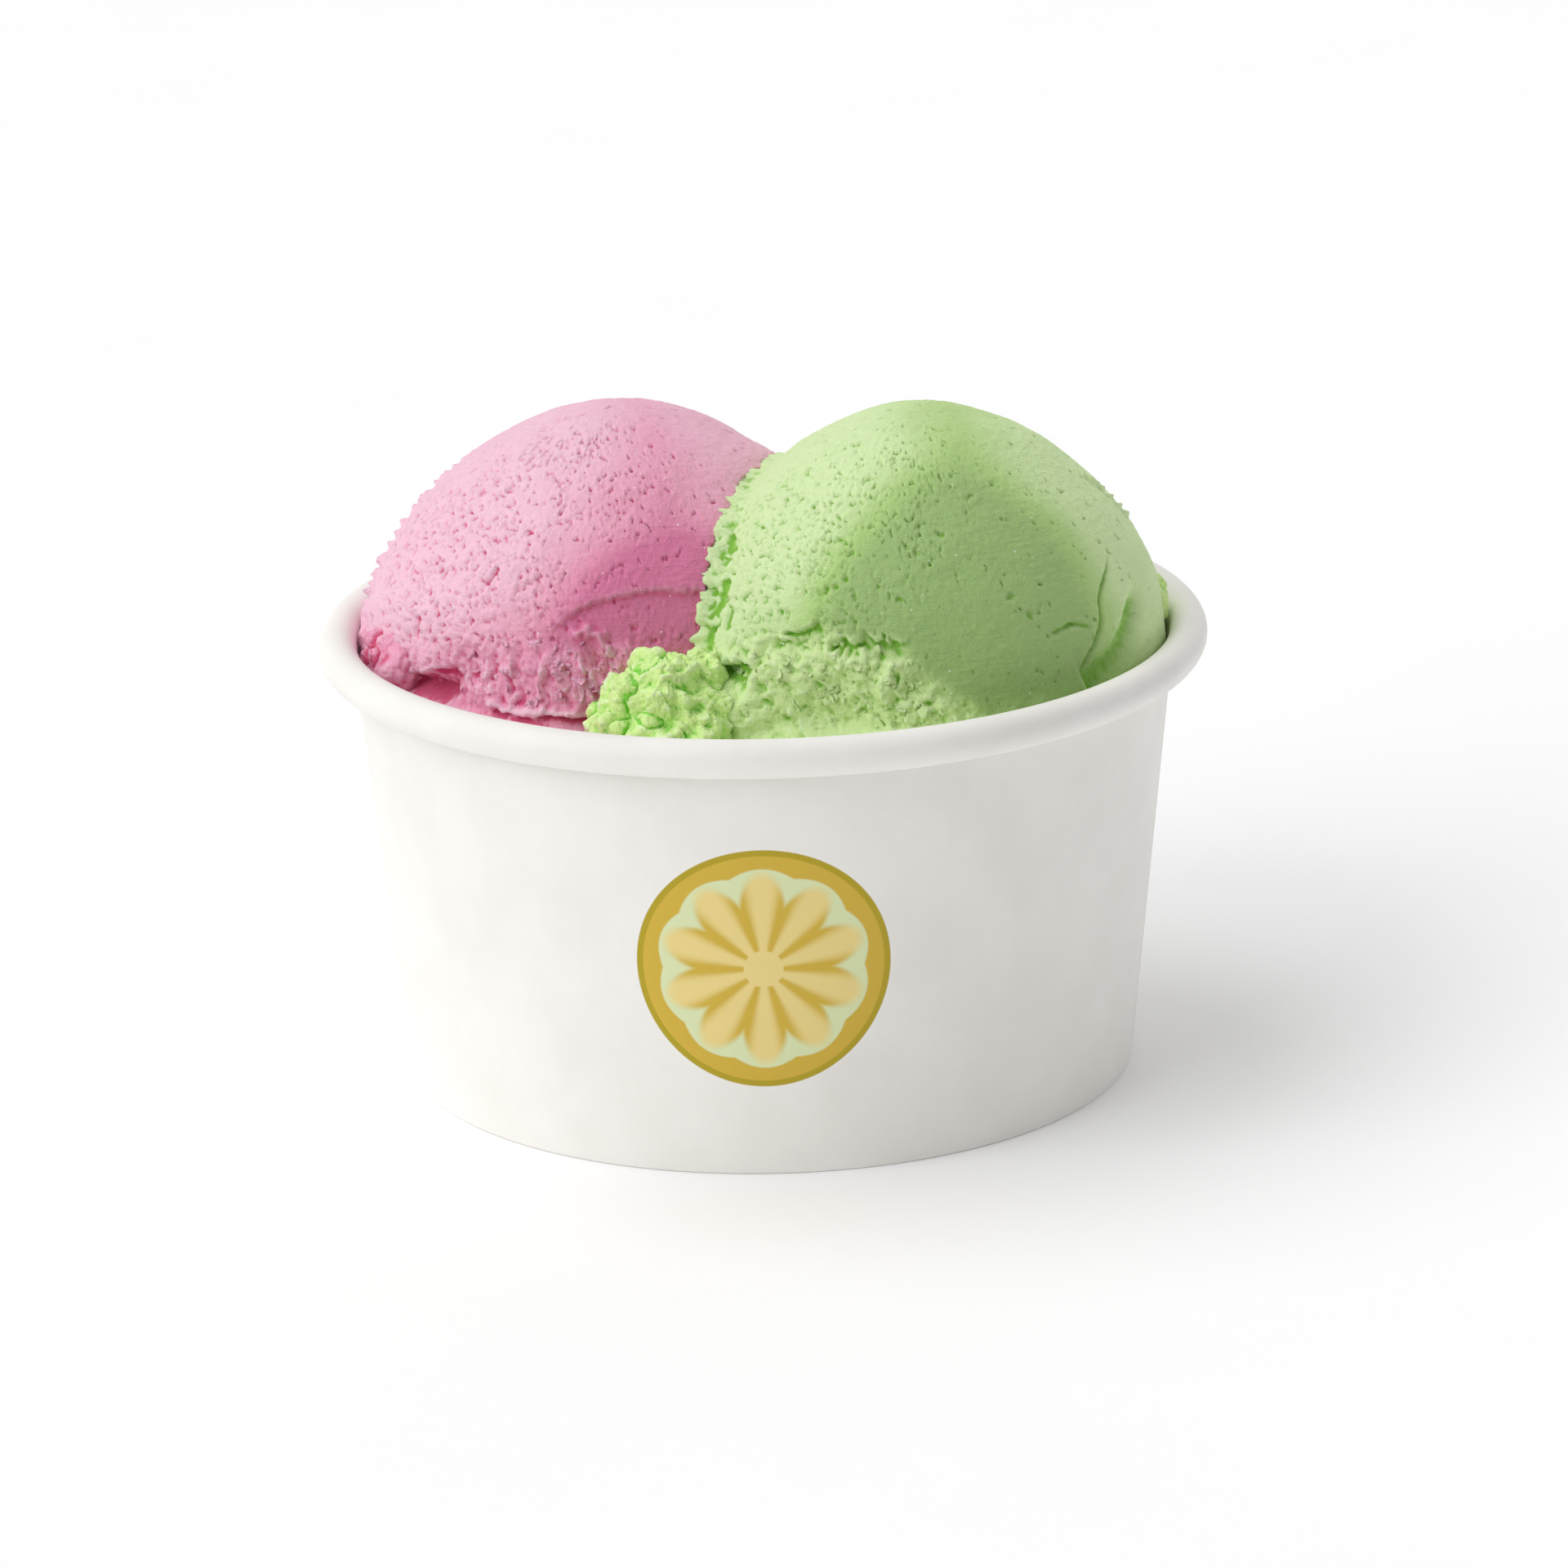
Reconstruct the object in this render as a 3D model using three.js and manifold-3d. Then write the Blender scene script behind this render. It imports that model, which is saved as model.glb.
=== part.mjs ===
// Gelato cup: two scoops of gelato pressed side by side into a squat paper cup with a rolled rim.
// Millimetres, +Z up. The origin is the centre of the cup's bottom ring, on the table,
// and the front is -Y. The pink scoop sits left and a little behind, the green one right.
import * as THREE from "three";
import { mergeVertices } from "three/addons/utils/BufferGeometryUtils.js";
import Module from "manifold-3d";

// The paper cup
const RIM_RADIUS = 48; // outside of the rolled rim
const CUP_HEIGHT = 49.7;
const FOOT_RADIUS = 39.6; // outside of the wall where it meets the table
const PAPER = 0.5;
const CURL_RADIUS = 2.05; // outside of the paper roll at the rim
const CURL_TURN = 300; // degrees that the rim's paper is rolled through
const CURL_STEPS = 10;
const HEM_HEIGHT = 5.6; // how far the wall is folded back up inside the bottom ring
const RING_CHAMFER = 0.3; // bevel on both sides of the ring's flat
const DISC_TOP = 6.5; // height of the cup's floor
const FLANGE_END = 1.1; // height where the disc's rim, turned down into the fold, ends
const FOLD_CLEARANCE = 0.2; // between the disc's turned-down rim and the paper on either side
const ROUND_STEPS = 60; // facets round the cup

// The gelato
const GAP = 0.3; // between the gelato and what it rests on
const SKIRT_REACH = 70; // the torn foot of a scoop runs past the wall, and the cup trims it
const WIDENING = 1.7; // how much a dome is wider near its waist than at its crown
const WAIST_START = 40; // degrees from the crown where a dome begins to widen
const WAIST_END = 85; // degrees from the crown where it is widest
const UNEVENNESS = 0.3; // swelling and sinking of a dome's surface
const SKIRT_WAVE = 5; // degrees by which the torn foot's edge runs up and down
const SCOOP_STEPS = 50; // facets round a scoop
const SCOOP_ROWS = 32; // facets from a scoop's crown to its underside
const WELD = 1e-4; // vertices nearer to each other than this become one

const PINK = {
  name: "pink_scoop",
  colour: 0xe59cbd,
  centre: new THREE.Vector3(-15.3, 6, 47.1),
  radius: 24.6,
  skirtStart: 95, // degrees from the crown where the torn foot leaves the dome
  skirtEnd: 115, // degrees from the crown where the torn foot reaches the wall
  phase: 0.8, // shifts the unevenness, so that the scoops differ
  lobes: [
    { towards: [-26, -4, 7], height: 1.2, spread: 0.4 },
    { towards: [-27, -8, -5], height: 2.2, spread: 0.3 },
    { towards: [-10, -25, -9], height: 2.4, spread: 0.3 },
    { towards: [-10, 24, -9], height: 2.2, spread: 0.32 },
  ],
};

const GREEN = {
  name: "green_scoop",
  colour: 0xb5d59b,
  centre: new THREE.Vector3(17.3, -4, 48.8),
  radius: 24.3,
  skirtStart: 97,
  skirtEnd: 116,
  phase: 2.9,
  lobes: [
    { towards: [-33, -18, -3], height: 10.5, spread: 0.21 }, // the ragged lump at the front left
    { towards: [-25, -22, -5], height: 6, spread: 0.26 },
    { towards: [-24, -6, 7], height: 1.5, spread: 0.4 },
    { towards: [3, -26, -11], height: 2.4, spread: 0.34 },
    { towards: [25, 9, -2], height: 1.6, spread: 0.16 },
    { towards: [8, 26, -10], height: 2.6, spread: 0.32 },
  ],
};

// The upright plane between the scoops: green keeps what lies this far from its own centre.
const GREEN_SHARE = 17.4;

const wasm = await Module();
wasm.setup();

// Heights and radii that follow from the driving dimensions.
const curlHeight = CUP_HEIGHT - CURL_RADIUS;
const curlRadius = RIM_RADIUS - CURL_RADIUS;
const wallTopRadius = curlRadius - CURL_RADIUS + PAPER;

// Outside radius of the tapered wall at a height.
function wallRadius(height) {
  return FOOT_RADIUS + ((wallTopRadius - FOOT_RADIUS) * height) / curlHeight;
}

// Radius at a height of a layer that lies this far inside the wall's outer face.
function layerRadius(height, inset) {
  return wallRadius(height) - inset;
}

// A profile of [radius, height] points turned round the Z axis.
function turned(profile) {
  const points = profile.map(([radius, height]) => new THREE.Vector2(radius, height));
  const geometry = new THREE.LatheGeometry(points, ROUND_STEPS);
  geometry.rotateX(Math.PI / 2);
  return welded(geometry);
}

// The same surface with one vertex where several met.
function welded(geometry) {
  geometry.deleteAttribute("normal");
  geometry.deleteAttribute("uv");
  return mergeVertices(geometry, WELD);
}

// Points of the rolled rim on a circle about the roll's own centre, from the cup's inside over
// the top and down the outside.
function curlArc(radius) {
  return Array.from({ length: CURL_STEPS + 1 }, (_, i) => {
    const angle = THREE.MathUtils.degToRad(180 - (CURL_TURN * i) / CURL_STEPS);
    return [curlRadius + radius * Math.cos(angle), curlHeight + radius * Math.sin(angle)];
  });
}

// The wall: one strip of paper, folded up inside at the bottom and rolled outwards at the rim.
function cupWall() {
  const hemOutside = PAPER + FOLD_CLEARANCE + PAPER + FOLD_CLEARANCE;
  const hemInside = hemOutside + PAPER;
  const profile = [
    [layerRadius(0, RING_CHAMFER), 0],
    [layerRadius(RING_CHAMFER, 0), RING_CHAMFER],
    ...curlArc(CURL_RADIUS - PAPER),
    ...curlArc(CURL_RADIUS).reverse(),
    [layerRadius(PAPER, PAPER), PAPER],
    [layerRadius(PAPER, hemOutside), PAPER],
    [layerRadius(HEM_HEIGHT, hemOutside), HEM_HEIGHT],
    [layerRadius(HEM_HEIGHT, hemInside), HEM_HEIGHT],
    [layerRadius(RING_CHAMFER, hemInside), RING_CHAMFER],
    [layerRadius(0, hemInside - RING_CHAMFER), 0],
  ];
  profile.push(profile[0]);
  return turned(profile);
}

// The floor: a disc whose rim is turned down into the fold of the wall.
function cupBase() {
  const outside = PAPER + FOLD_CLEARANCE;
  const inside = outside + PAPER;
  const profile = [
    [0, DISC_TOP - PAPER],
    [layerRadius(DISC_TOP - PAPER, inside), DISC_TOP - PAPER],
    [layerRadius(FLANGE_END, inside), FLANGE_END],
    [layerRadius(FLANGE_END, outside), FLANGE_END],
    [layerRadius(DISC_TOP - PAPER, outside), DISC_TOP - PAPER],
    [layerRadius(DISC_TOP, outside + PAPER / 2), DISC_TOP],
    [0, DISC_TOP],
  ];
  return turned(profile);
}

// The space in the cup that gelato can fill, a little clear of the wall and the floor.
function cupInside() {
  const floor = DISC_TOP + GAP;
  const brim = 2 * CUP_HEIGHT; // higher than the scoops
  const inset = PAPER + GAP;
  return turned([
    [0, floor],
    [layerRadius(floor, inset), floor],
    [layerRadius(curlHeight, inset), curlHeight],
    [layerRadius(curlHeight, inset), brim],
    [0, brim],
  ]);
}

// Slow swelling and sinking of a hand-scooped surface, from -1 to 1. The waves run in slanted
// directions and have unlike lengths, so that no pattern can be seen.
function unevenness(direction, phase) {
  const { x, y, z } = direction;
  const broad = Math.sin(3.1 * x + 1.7 * z + phase) * Math.cos(2.7 * y - 1.3 * z - phase);
  const narrow = Math.sin(7.3 * x - 5.1 * y + 2 * phase) * Math.cos(6.1 * z + 4.3 * y + phase);
  return 0.6 * broad + 0.4 * narrow;
}

// Distance from a scoop's centre to its surface: a dome that widens to its waist, then a torn
// foot that slopes out to the wall, with lobes where the gelato was squeezed out.
function scoopRadius(scoop, direction, limit) {
  const angle = THREE.MathUtils.radToDeg(Math.acos(direction.z));
  const wave = unevenness(direction, scoop.phase);
  const waist = THREE.MathUtils.smoothstep(angle, WAIST_START, WAIST_END);
  const skirt = THREE.MathUtils.smoothstep(angle + SKIRT_WAVE * wave, scoop.skirtStart, scoop.skirtEnd);
  let dome = scoop.radius + WIDENING * waist + UNEVENNESS * wave;
  for (const lobe of scoop.lobes) {
    const turn = direction.angleTo(new THREE.Vector3(...lobe.towards));
    dome += lobe.height * Math.exp(-((turn / lobe.spread) ** 2));
  }
  return THREE.MathUtils.lerp(dome, Math.max(limit(direction), dome / 2), skirt);
}

// The closed surface of a scoop, grown outwards all over by a margin.
function scoopForm(scoop, limit, margin) {
  const geometry = welded(new THREE.SphereGeometry(1, SCOOP_STEPS, SCOOP_ROWS).rotateX(Math.PI / 2));
  const position = geometry.getAttribute("position");
  const direction = new THREE.Vector3();
  for (let i = 0; i < position.count; i += 1) {
    direction.fromBufferAttribute(position, i).normalize();
    const radius = scoopRadius(scoop, direction, limit) + margin;
    const point = direction.clone().multiplyScalar(radius).add(scoop.centre);
    position.setXYZ(i, point.x, point.y, point.z);
  }
  return geometry;
}

// Level direction from the green scoop towards the pink one.
const towardsPink = PINK.centre.clone().sub(GREEN.centre).setZ(0).normalize();

// How far green's torn foot runs: to the upright plane on pink's side, past the wall elsewhere.
function greenLimit(direction) {
  const across = direction.dot(towardsPink);
  return across > 0 ? Math.min(SKIRT_REACH, GREEN_SHARE / across) : SKIRT_REACH;
}

function pinkLimit() {
  return SKIRT_REACH;
}

// A block over everything on green's side of the upright plane.
function greenSide() {
  const size = 4 * SKIRT_REACH; // reaches past the cup on every side
  const geometry = new THREE.BoxGeometry(size, size, size);
  geometry.translate(-(GREEN_SHARE - GAP + size / 2), 0, 0);
  geometry.rotateZ(Math.atan2(towardsPink.y, towardsPink.x));
  geometry.translate(GREEN.centre.x, GREEN.centre.y, 0);
  return geometry;
}

function toManifold(geometry) {
  const merged = welded(geometry.clone());
  return new wasm.Manifold(
    new wasm.Mesh({
      numProp: 3,
      vertProperties: merged.getAttribute("position").array,
      triVerts: new Uint32Array(merged.index.array),
    }),
  );
}

function toGeometry(solid) {
  const mesh = solid.getMesh();
  const geometry = new THREE.BufferGeometry();
  geometry.setAttribute("position", new THREE.BufferAttribute(mesh.vertProperties, 3));
  geometry.setIndex(new THREE.BufferAttribute(mesh.triVerts, 1));
  geometry.computeVertexNormals();
  return geometry;
}

function greenScoop() {
  return toManifold(scoopForm(GREEN, greenLimit, 0)).intersect(toManifold(cupInside()));
}

// The pink scoop gives way to the green one, which was pressed in after it.
function pinkScoop() {
  return toManifold(scoopForm(PINK, pinkLimit, 0))
    .intersect(toManifold(cupInside()))
    .subtract(toManifold(greenSide()))
    .subtract(toManifold(scoopForm(GREEN, greenLimit, GAP)));
}

function named(name, geometry, material) {
  const mesh = new THREE.Mesh(geometry, material);
  mesh.name = name;
  return mesh;
}

const paperWhite = new THREE.MeshStandardMaterial({ color: 0xf4f2ec, roughness: 0.6, metalness: 0 });
const floorWhite = new THREE.MeshStandardMaterial({ color: 0xf0eee8, roughness: 0.55, metalness: 0 });
const pinkGelato = new THREE.MeshStandardMaterial({ color: PINK.colour, roughness: 0.7, metalness: 0 });
const greenGelato = new THREE.MeshStandardMaterial({ color: GREEN.colour, roughness: 0.7, metalness: 0 });

const gelatoCup = new THREE.Group();
gelatoCup.add(named("cup_wall", cupWall(), paperWhite));
gelatoCup.add(named("cup_base", cupBase(), floorWhite));
gelatoCup.add(named(PINK.name, toGeometry(pinkScoop()), pinkGelato));
gelatoCup.add(named(GREEN.name, toGeometry(greenScoop()), greenGelato));

export default gelatoCup;
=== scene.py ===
# %% [markdown]
# # Gelato in a paper cup
# Two scoops of gelato, one pink and one pale green, stand pressed together in a squat white
# paper cup. The imported model gives every size: the cup's rolled rim and recessed floor, and
# the place of the two domes. This lesson builds the surfaces that are seen around that frame.
# The first cell loads the frame, and a function reads the box of each of its parts. Nothing
# made later may leave it.

from itertools import product

import bpy
import numpy as np
from mathutils import Matrix, Vector


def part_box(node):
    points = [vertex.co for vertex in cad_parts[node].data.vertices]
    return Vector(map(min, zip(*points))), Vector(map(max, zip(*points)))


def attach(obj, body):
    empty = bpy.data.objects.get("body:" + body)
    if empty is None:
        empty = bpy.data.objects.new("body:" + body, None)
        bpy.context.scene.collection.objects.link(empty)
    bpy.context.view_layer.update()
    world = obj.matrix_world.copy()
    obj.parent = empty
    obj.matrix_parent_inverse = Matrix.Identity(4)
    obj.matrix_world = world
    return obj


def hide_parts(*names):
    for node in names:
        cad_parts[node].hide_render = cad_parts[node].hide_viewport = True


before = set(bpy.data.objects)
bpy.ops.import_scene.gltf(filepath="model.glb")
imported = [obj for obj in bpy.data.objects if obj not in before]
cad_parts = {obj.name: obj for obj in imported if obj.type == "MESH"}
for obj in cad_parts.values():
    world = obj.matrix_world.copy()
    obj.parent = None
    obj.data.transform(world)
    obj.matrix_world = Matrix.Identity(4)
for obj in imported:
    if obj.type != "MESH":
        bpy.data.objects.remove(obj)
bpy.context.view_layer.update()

# %% [markdown]
# ## Sizes
# Shapes are worked out in millimetres and turned into metres when they become a mesh. The
# rim's radius, the cup's height and the floor's height are read from the frame. The paper is
# half a millimetre thick, and its top edge is rolled outwards into a round bead.

# %% Sizes from the frame
METRE = 0.001
PAPER = 0.5
BEAD_RADIUS = 2.05
FOOT_RADIUS = 39.6


def box_of(node):
    """Lowest and highest corner of a frame node, in millimetres."""
    low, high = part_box(node)
    return np.array(low) / METRE, np.array(high) / METRE


RIM_RADIUS = box_of("cup_wall")[1][0]
CUP_HEIGHT = box_of("cup_wall")[1][2]
FLOOR_TOP = box_of("cup_base")[1][2]
FLOOR_RADIUS = box_of("cup_base")[1][0]
BEAD_HEIGHT = CUP_HEIGHT - BEAD_RADIUS
BEAD_CENTRE = RIM_RADIUS - BEAD_RADIUS
WALL_TOP = BEAD_CENTRE - BEAD_RADIUS + PAPER
WALL_SLOPE = (WALL_TOP - FOOT_RADIUS) / BEAD_HEIGHT
print("rim", RIM_RADIUS, "height", CUP_HEIGHT, "floor", FLOOR_TOP, FLOOR_RADIUS)

# %% [markdown]
# ## Camera
# A small thing looks its own size through a long lens from less than a metre away. The camera
# stands in front of the cup, looks down on it by about eighteen degrees and is tipped a
# little to one side, so that the rim isn't quite level.

# %% Camera
VIEW_AIM = (1.93, 0, 30.42)
VIEW_DISTANCE = 794
VIEW_ELEVATION = 17.52
VIEW_ROLL = -1.26
LENS = 167.5

elevation = np.radians(VIEW_ELEVATION)
aim = Vector(VIEW_AIM) * METRE
eye = aim + Vector((0, -np.cos(elevation), np.sin(elevation))) * VIEW_DISTANCE * METRE
camera = bpy.data.objects.new("camera", bpy.data.cameras.new("camera"))
camera.data.lens = LENS
camera.data.clip_end = 20
facing = (aim - eye).to_track_quat("-Z", "Y").to_matrix().to_4x4()
camera.matrix_world = (
    Matrix.Translation(eye) @ facing @ Matrix.Rotation(np.radians(VIEW_ROLL), 4, "Z")
)
bpy.context.scene.collection.objects.link(camera)
bpy.context.scene.camera = camera
print("camera at", [round(v, 3) for v in eye])

# %% [markdown]
# ## A way to write node trees
# A shader tree is a sum, so it is written as one. One class wraps a socket, and every sign
# between two of them adds a Math node, also when a plain number stands left of the sign. Any
# other node comes from one method that takes the node's type, its settings and the values or
# links of its sockets. The room's light and all the materials below are written with it.

# %% Wires and nodes


def signs(operation):
    """The two methods behind a sign: one for a wire on its left, one for a wire on its right."""
    return (lambda wire, other: wire.maths(operation, wire, other),
            lambda wire, other: wire.maths(operation, other, wire))


class Wire:
    """An output socket that can be added, taken away, multiplied, divided and raised."""

    __add__, __radd__ = signs("ADD")
    __sub__, __rsub__ = signs("SUBTRACT")
    __mul__, __rmul__ = signs("MULTIPLY")
    __truediv__, __rtruediv__ = signs("DIVIDE")
    __pow__, __rpow__ = signs("POWER")

    def __init__(self, socket):
        self.socket = socket

    def node(self, kind, settings, sockets, output=0):
        """A node in this socket's own tree."""
        return Nodes(self.socket.id_data).add(kind, settings, sockets, output)

    def maths(self, operation, *values):
        """A Math node on the values, such as MAXIMUM or SINE."""
        return self.node("ShaderNodeMath", {"operation": operation}, dict(enumerate(values)))

    def step(self, start, end):
        """0 below start, 1 above end, and an even S between them."""
        ends = {"Value": self, "From Min": start, "From Max": end}
        return self.node("ShaderNodeMapRange", {"interpolation_type": "SMOOTHSTEP"}, ends, "Result")


class Nodes:
    """A node tree to which nodes are added one by one."""

    def __init__(self, tree):
        self.tree = tree

    def add(self, kind, settings, sockets, output=0):
        """A node with its settings set first, then its sockets' values or links."""
        node = self.tree.nodes.new(kind)
        for key, value in settings.items():
            setattr(node, key, value)
        self.feed(node, sockets)
        return Wire(node.outputs[output])

    def feed(self, node, sockets):
        """Sets or links the sockets of a node."""
        for key, value in sockets.items():
            if isinstance(value, Wire):
                self.tree.links.new(value.socket, node.inputs[key])
            else:
                node.inputs[key].default_value = value


print("signs on wires: + - * / **")

# %% [markdown]
# ## A way to write finishes
# Every finish here is a Principled shader with noise on it. A real surface is never quite
# even, and noise in the piece's own space stays where it is when the piece turns. Colours are
# given as a screen shows them, and are turned into amounts of light.

# %% Finishes


class Finish(Nodes):
    """A material's tree. Its shader is a Principled BSDF, and place is the piece's own space."""

    def __init__(self, name):
        self.material = bpy.data.materials.new(name)
        self.material.use_nodes = True
        super().__init__(self.material.node_tree)
        self.shader = self.tree.nodes["Principled BSDF"]
        self.place = self.add("ShaderNodeTexCoord", {}, {}, "Object")

    def mix(self, share, first, second):
        """The first colour where share is 0 and the second where it is 1."""
        sockets = {0: share, 6: first, 7: second}
        return self.add("ShaderNodeMix", {"data_type": "RGBA"}, sockets, 2)

    def noise(self, width, detail=2, **sockets):
        """Noise from 0 to 1 with spots about width millimetres wide."""
        sockets = {"Vector": self.place, "Scale": 1 / (width * METRE), "Detail": detail, **sockets}
        return self.add("ShaderNodeTexNoise", {}, sockets, "Fac")

    def bump(self, height, depth):
        """A Normal that looks as if height were raised by depth millimetres."""
        return self.add("ShaderNodeBump", {}, {"Height": height, "Distance": depth * METRE}, "Normal")

    def shade(self, **sockets):
        """Sets the shader's own sockets, with underscores for the spaces in their names."""
        self.feed(self.shader, {key.replace("_", " "): value for key, value in sockets.items()})
        return self.material


def colour(red, green, blue):
    """A screen colour from 0 to 255 as the linear light that a shader works in."""
    value = np.array([red, green, blue]) / 255
    value = np.where(value <= 0.04045, value / 12.92, ((value + 0.055) / 1.055) ** 2.4)
    return (*value.tolist(), 1)


print("middle grey gives back", round(colour(128, 128, 128)[0], 3), "of the light")

# %% [markdown]
# ## Studio
# The cup stands on a white sweep in a white room. Two big soft lamps stand to the left, a
# high one a little behind the cup and a low one in front of it. The room gives the rest: it
# is brightest behind the cup, where the sweep goes up, and dimmest behind the camera. So the
# cup's front is a little greyer than its left side, and its shadow melts away to the right. A
# sun lamp with a wide angle makes each soft lamp. The Standard view keeps whites white, where
# a film-like view would turn them grey.

# %% Lamps, room and floor
LAMPS = {"high_lamp": ((-0.45, 0.12, 0.88), 0.94), "low_lamp": ((-0.69, -0.49, 0.53), 1.35)}
LAMP_WIDTH = 46
ROOM_LIGHT = 0.47
ROOM_SLOPE = (0.11, 0.36, 0)
FLOOR_SIDE = 8

for name, (direction, strength) in LAMPS.items():
    lamp = bpy.data.objects.new(name, bpy.data.lights.new(name, "SUN"))
    lamp.data.energy = strength
    lamp.data.angle = np.radians(LAMP_WIDTH)
    lamp.rotation_euler = Vector(direction).to_track_quat("Z", "Y").to_euler()
    bpy.context.scene.collection.objects.link(lamp)

world = bpy.data.worlds.new("white_room")
world.use_nodes = True
room = Nodes(world.node_tree)
towards = room.add("ShaderNodeTexCoord", {}, {}, "Generated")
slope = room.add(
    "ShaderNodeVectorMath", {"operation": "DOT_PRODUCT"}, {0: towards, 1: ROOM_SLOPE}, "Value"
)
room.feed(world.node_tree.nodes["Background"], {"Color": (1, 1, 1, 1), "Strength": slope + ROOM_LIGHT})
bpy.context.scene.world = world
bpy.context.scene.view_settings.view_transform = "Standard"

floor_mesh = bpy.data.meshes.new("floor")
half = FLOOR_SIDE / 2
floor_mesh.from_pydata(
    [(-half, -half, 0), (half, -half, 0), (half, half, 0), (-half, half, 0)], [], [(0, 1, 2, 3)]
)
floor = bpy.data.objects.new("floor", floor_mesh)
bpy.context.scene.collection.objects.link(floor)
print("lamps:", *LAMPS, "- floor", FLOOR_SIDE, "m wide")

# %% [markdown]
# ## Meshes from grids
# Every piece is a grid of points: its rows run along a profile and its columns run round.
# Whole arrays go into the mesh at once, which is far quicker than adding faces one by one.
# The sum of the small wedges between the faces and the origin is the volume. It is negative
# when the faces point inwards, and then the rows are turned round.

# %% A grid of points becomes a mesh


def weave(points, closed_rows):
    """Faces of a grid of rows and columns whose columns always close into rings. The rows
    close as well, or else the first and the last row are points that shut the surface."""
    rows, columns = points.shape[:2]
    index = np.arange(rows * columns).reshape(rows, columns)
    if closed_rows:
        upper, lower = index, np.roll(index, -1, 0)
    else:
        upper, lower = index[1:-2], index[2:-1]
    faces = np.stack([upper, lower, np.roll(lower, -1, 1), np.roll(upper, -1, 1)], -1)
    return faces.reshape(-1, 4)


def volume(points, faces):
    """Volume inside the faces: a sixth of the sum of corner . (corner x corner)."""
    corners = points.reshape(-1, 3)[faces]
    wedges = np.cross(corners[:, 1], corners[:, 2]), np.cross(corners[:, 2], corners[:, 3])
    return sum((corners[:, 0] * wedge).sum() for wedge in wedges) / 6


def make_mesh(name, points, closed_rows=False, **marks):
    """A smooth-shaded object from a grid of points in millimetres. Each mark is a number for
    every grid point that a material can read."""
    faces = weave(points, closed_rows)
    if volume(points, faces) < 0:
        points = points[::-1]
        marks = {key: value[::-1] for key, value in marks.items()}
    columns = points.shape[1]
    flat = points.reshape(-1, 3)
    marks = {key: value.reshape(-1) for key, value in marks.items()}
    loops, sizes = faces.reshape(-1), np.full(len(faces), 4)
    if not closed_rows:
        keep = np.r_[0, columns : len(flat) - columns, len(flat) - 1]
        flat = flat[keep]
        marks = {key: value[keep] for key, value in marks.items()}
        ring = np.arange(columns)
        last = len(flat) - 1
        top = np.stack([0 * ring, 1 + ring, 1 + np.roll(ring, -1)], -1)
        start = last - columns
        bottom = np.stack([0 * ring + last, start + np.roll(ring, -1), start + ring], -1)
        loops = np.concatenate([loops - columns + 1, top.reshape(-1), bottom.reshape(-1)])
        sizes = np.concatenate([sizes, np.full(2 * columns, 3)])
    return raw_mesh(name, flat, loops, sizes, marks)


def raw_mesh(name, points, loops, sizes, marks):
    """An object from points, the corners of its faces one after another, and face sizes."""
    mesh = bpy.data.meshes.new(name)
    mesh.vertices.add(len(points))
    mesh.vertices.foreach_set("co", (points * METRE).astype(np.float32).reshape(-1))
    mesh.loops.add(len(loops))
    mesh.loops.foreach_set("vertex_index", loops.astype(np.int32))
    mesh.polygons.add(len(sizes))
    starts = np.concatenate([[0], np.cumsum(sizes)[:-1]])
    mesh.polygons.foreach_set("loop_start", starts.astype(np.int32))
    mesh.update(calc_edges=True)
    mesh.polygons.foreach_set("use_smooth", np.ones(len(sizes), bool))
    for key, value in marks.items():
        layer = mesh.attributes.new(key, "FLOAT", "POINT")
        layer.data.foreach_set("value", value.astype(np.float32))
    made = bpy.data.objects.new(name, mesh)
    bpy.context.scene.collection.objects.link(made)
    low, high = points.min(0).round(1), points.max(0).round(1)
    print(f"{name}: {int((sizes - 2).sum())} triangles, from {low} to {high} mm")
    return made


# %% [markdown]
# ## The cup's wall
# A paper cup starts as a fan of coated board. It is wrapped round a cone, glued where its two
# ends overlap, and its top edge is rolled outwards into a bead that makes the rim stiff. The
# wall is one profile turned round the axis: up the inside, round the bead, and down the
# outside to a hem. At the back the outer end of the board lies over the inner one, so the
# outside stands one layer further out there, and the edge of that layer is a clean step.

# %% Cup wall
BEAD_TURN = 300
HEM_HEIGHT = 5.6
HEM_INSET = 1.05
FOOT_ROUND = 0.35
SEAM_WIDTH = 7
SEAM_STEP = 0.32
SEAM_EDGE = 0.5
SEAM_FADE = 9
WALL_COLUMNS = 420
INNER_ROWS, BEAD_ROWS, UNDER_ROWS, OUTER_ROWS = 26, 44, 40, 40


def ring_angles(columns):
    """Angles round from the front, in degrees, with even steps."""
    return np.linspace(-180, 180, columns, endpoint=False)


def arc(centre, radius, start, end, steps):
    """Points on a circle in the upright plane, as (distance from axis, height)."""
    turn = np.radians(np.linspace(start, end, steps))
    return np.stack([centre[0] + radius * np.cos(turn), centre[1] + radius * np.sin(turn)], -1)


def line(start, end, steps):
    """Points on a straight line, leaving out its last one."""
    return np.linspace(start, end, steps, endpoint=False)


def spin(profile, angles, out=0):
    """Turns (distance from axis, height) points round the axis: x = r sin a, y = -r cos a."""
    turn = np.radians(angles)[None]
    radius = profile[:, :1] + out
    height = np.repeat(profile[:, 1:], len(angles), 1)
    return np.stack([radius * np.sin(turn), -radius * np.cos(turn), height], -1)


def smooth(value, start, end):
    """0 before start, 1 after end, and an even S between them."""
    t = np.clip((value - start) / (end - start), 0, 1)
    return t * t * (3 - 2 * t)


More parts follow.
